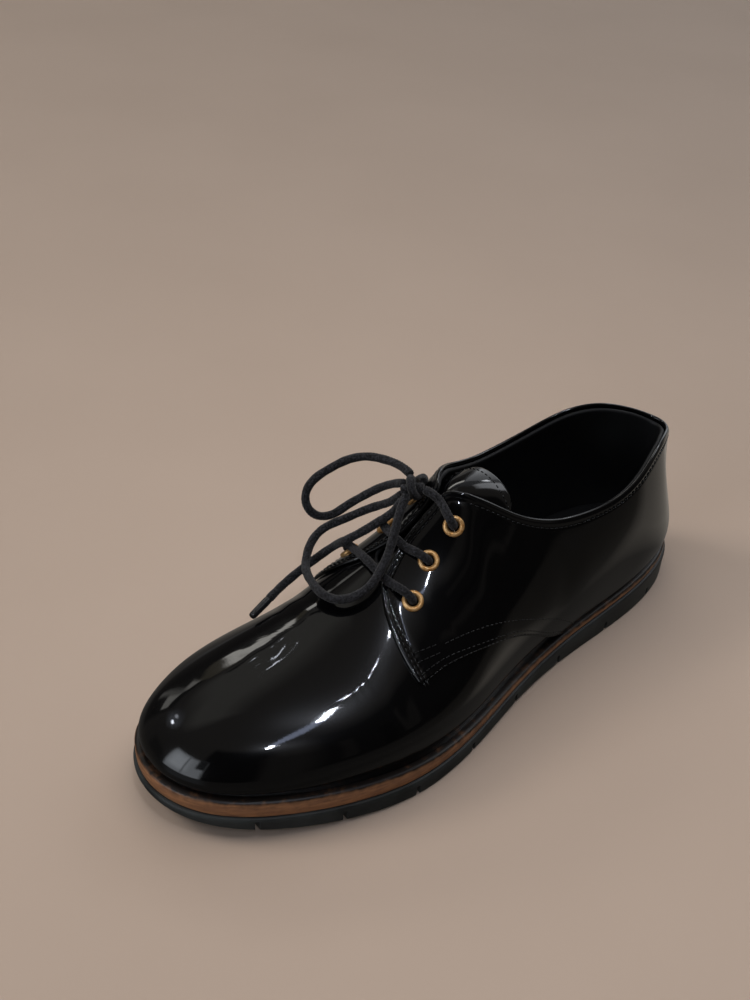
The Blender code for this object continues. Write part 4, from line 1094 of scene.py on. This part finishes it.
floor_finish, tree, shader, place = new_material("matt_floor")
cloud = add_node(tree, "TexNoise", {"Vector": place, "Scale": 6, "Detail": 5})
tint = add_node(tree, "ValToRGB", {"Fac": cloud}, ((0, "#b29f90"), (1, "#bca99a")))
feed(shader, {"Base Color": tint, "Roughness": 0.7})
mesh = bpy.data.meshes.new("floor")
mesh.from_pydata([(-2, -2, 0), (2, -2, 0), (2, 2, 0), (-2, 2, 0)], [], [(0, 1, 2, 3)])
mesh.materials.append(floor_finish)
floor = bpy.data.objects.new("floor", mesh)
bpy.context.scene.collection.objects.link(floor)
floor.visible_glossy = False

# The room that the gloss mirrors: azimuth and elevation from and to, brightness, tone, and softness of the
# edges. Later ones lie over earlier ones.
ROOM = (
    (-180, 180, -90, -44, 0.055, "#e9e1d8", 14),
    (225, 250, -46, -20, 0.20, "#e6dccf", 12),
    (-60, -30, -30, 0, 0.10, "#e6dccf", 8),
    (-10, 28, -25, 0, 0.20, "#e9edf2", 10),
    (-115, -35, 52, 76, 0.42, "#ece9e0", 12),
    (122, 150, -32, -3, 0.08, "#e6dccf", 10),
    (149, 225, -36, -9, 0.33, "#e6dccf", 8),
    (192, 262, -8, 62, 0.28, "#eef1f6", 8),
    (202, 229, -2, 40, 0.8, "#eef1f6", 3),
    (166, 192, 26, 54, 2.4, "#eef1f6", 6),
    (197, 203, 36, 41, 9.0, "#eef1f6", 2),
    (-40, -14, 0, 18, 0.06, "#efe6dc", 6),
    (-130, -60, -8, 39, 0.035, "#efe6dc", 5),
    (-130, -93.4, 31.5, 40.5, 3.6, "#f4f1ea", 1.5),
    (-93.4, -85, 30, 42, 0.30, "#e8dcc0", 2),
    (-85, -77.5, 27, 33, 1.2, "#f4f1ea", 2),
    (-77.5, -64, 20, 29.5, 1.2, "#f4f1ea", 2),
    (-80, -76, 8, 30, 0.5, "#f4f1ea", 3),
    (-125, -87, 52.5, 56.5, 0.03, "#efe6dc", 2),
    (-56, -44, 36, 46, 0.5, "#eef3ff", 6),
    (-49.5, -46.5, 38.8, 40.8, 24.0, "#eef3ff", 1),
    (-54, -51.5, 42.2, 44.2, 4.0, "#eef3ff", 1.5),
    (-97.0, -95.8, 61.8, 62.3, 22.0, "#eef3ff", 0.5),
    (20, 62, 0, 56, 0.015, "#efe6dc", 5),
    (60, 76, 0, 45, 0.09, "#efe6dc", 6),
    (73, 134, -5, 66, 0.025, "#efe6dc", 8),
    (81, 86, 5, 50, 0.06, "#efe6dc", 2),
    (97, 102, 0, 46, 0.015, "#efe6dc", 2),
    (108, 113, 10, 54, 0.075, "#efe6dc", 3),
    (120, 145, -8, 14, 0.02, "#efe6dc", 6),
    (-14, 25, 1, 36, 2.2, "#e4eaf2", 4),
    (-12, 8, 12, 34, 3.6, "#e4eaf2", 10),
    (5, 7, 0, 38, 1.4, "#e4eaf2", 1.5),
    (17, 26, 24, 38, 0.10, "#e4eaf2", 3),
)
world = bpy.data.worlds.new("room")
bpy.context.scene.world = world
world.use_nodes = True
tree = world.node_tree
tree.nodes.clear()
way = add_node(tree, "TexCoord", {}).outputs["Generated"]
axes = add_node(tree, "SeparateXYZ", {"Vector": way})
turn = add_node(tree, "Math", {0: axes.outputs["Y"], 1: axes.outputs["X"]}, operation="ARCTAN2")
azimuth = add_node(tree, "Math", {0: turn}, operation="DEGREES")
climb = add_node(tree, "Math", {0: axes.outputs["Z"]}, operation="ARCSINE")
elevation = add_node(tree, "Math", {0: climb}, operation="DEGREES")


def between(value, low, high, soft):
    """1 where value lies between low and high, with soft edges."""
    both = []
    for at, half in ((low, soft / 2), (high, -soft / 2)):
        ends = {"Value": value, "From Min": at - half, "From Max": at + half}
        both.append(add_node(tree, "MapRange", ends))
    return add_node(tree, "Math", dict(enumerate(both)), operation="MULTIPLY")


lift = {"Value": elevation, "From Min": 0, "From Max": 60, "To Min": 0.09, "To Max": 0.17}
base = add_node(tree, "MapRange", lift)
walls = {"Factor": 1, 6: base, 7: linear("#e9e1d8")}
latest = add_node(tree, "Mix", walls, data_type="RGBA", blend_type="MULTIPLY").outputs[2]
for from_a, to_a, from_e, to_e, bright, tone, soft in ROOM:
    mask = between(elevation, from_e, to_e, soft)
    if to_a - from_a < 360:
        middle, half = (from_a + to_a) / 2, (to_a - from_a) / 2
        aside = add_node(tree, "Math", {0: azimuth, 1: middle}, operation="SUBTRACT")
        aside = add_node(tree, "Math", {0: aside, 1: -180, 2: 180}, operation="WRAP")
        mask = {0: mask, 1: between(aside, -half, half, soft)}
        mask = add_node(tree, "Math", mask, operation="MULTIPLY")
    colour = [c * bright for c in linear(tone)[:3]] + [1]
    latest = add_node(tree, "Mix", {"Factor": mask, 6: latest, 7: colour}, data_type="RGBA").outputs[2]
mirrored = add_node(tree, "Background", {"Color": latest})
plain = add_node(tree, "Background", {"Color": linear("#8f8277")})
seen = add_node(tree, "LightPath", {}).outputs["Is Camera Ray"]
choice = add_node(tree, "MixShader", {0: seen, 1: mirrored, 2: plain})
add_node(tree, "OutputWorld", {"Surface": choice})


def area_light(name, place, aim, size, power, tone):
    """An area light at place that shines at aim."""
    light = bpy.data.lights.new(name, "AREA")
    light.shape = "RECTANGLE"
    light.size, light.size_y = size
    light.energy = power
    light.color = linear(tone)[:3]
    made = bpy.data.objects.new(name, light)
    made.location = place
    made.rotation_euler = (Vector(aim) - Vector(place)).to_track_quat("-Z", "Y").to_euler()
    bpy.context.scene.collection.objects.link(made)
    return made


def tube_lamp(name, start, end, wide, power, tone="#eaf1ff"):
    """A long strip lamp from start to end that shines at the shoe."""
    start, end = Vector(start), Vector(end)
    middle, along = (start + end) / 2, (end - start).normalized()
    made = area_light(name, middle, (0, 0, 0), ((end - start).length, wide), power, tone)
    over = middle.cross(along).normalized()
    axes = Matrix((along, over, along.cross(over))).transposed()
    made.matrix_world = Matrix.Translation(middle) @ axes.to_4x4()


# The strip lamp: a dim cover, and three bright tubes in line below it.
tube_lamp("strip_cover", (0.64, 1, 2), (0.1, 0.5, 2), 0.06, 0.5, "#cfdcff")
tube_lamp("strip_tube_a", (0.72, 1.08, 1.99), (0.6, 0.965, 1.99), 0.03, 3.6)
tube_lamp("strip_tube_b", (0.13, 0.533, 1.99), (0.022, 0.399, 1.99), 0.022, 3.4)
tube_lamp("strip_tube_c", (-0.0374, 0.3256, 1.99), (-0.0419, 0.32, 1.99), 0.014, 0.08)

key_turn, key_climb = math.radians(-42), math.radians(46)
level = math.cos(key_climb)
key_place = Vector((level * math.cos(key_turn), level * math.sin(key_turn), math.sin(key_climb))) * 2.4
for lamp in (
    area_light("softbox", (0, 0, 0.52), (0, 0, 0), (0.34, 0.34), 0.74, "#fff8f0"),
    area_light("key", key_place, (0, 0, 0), (0.8, 0.8), 16, "#fff8f0"),
):
    lamp.visible_glossy = False
    lamp.visible_camera = False

# The camera looks down on the shoe from its outer side and beyond the toe, a little tilted.
CAMERA_PLACE, CAMERA_AIM, CAMERA_TILT = (353.15, 237.14, 328.97), (114.5, -65.58, 30), 0.05
camera = bpy.data.cameras.new("camera")
camera.sensor_width = 36
camera.lens = 39.17
made = bpy.data.objects.new("camera", camera)
bpy.context.scene.collection.objects.link(made)
place = Vector(in_row(CAMERA_PLACE))
turn = (Vector(in_row(CAMERA_AIM)) - place).to_track_quat("-Z", "Y").to_matrix().to_4x4()
made.matrix_world = Matrix.Translation(place) @ turn @ Matrix.Rotation(CAMERA_TILT, 4, "Z")
bpy.context.scene.camera = made
bpy.context.scene.view_settings.view_transform = "Standard"

bpy.context.view_layer.update()
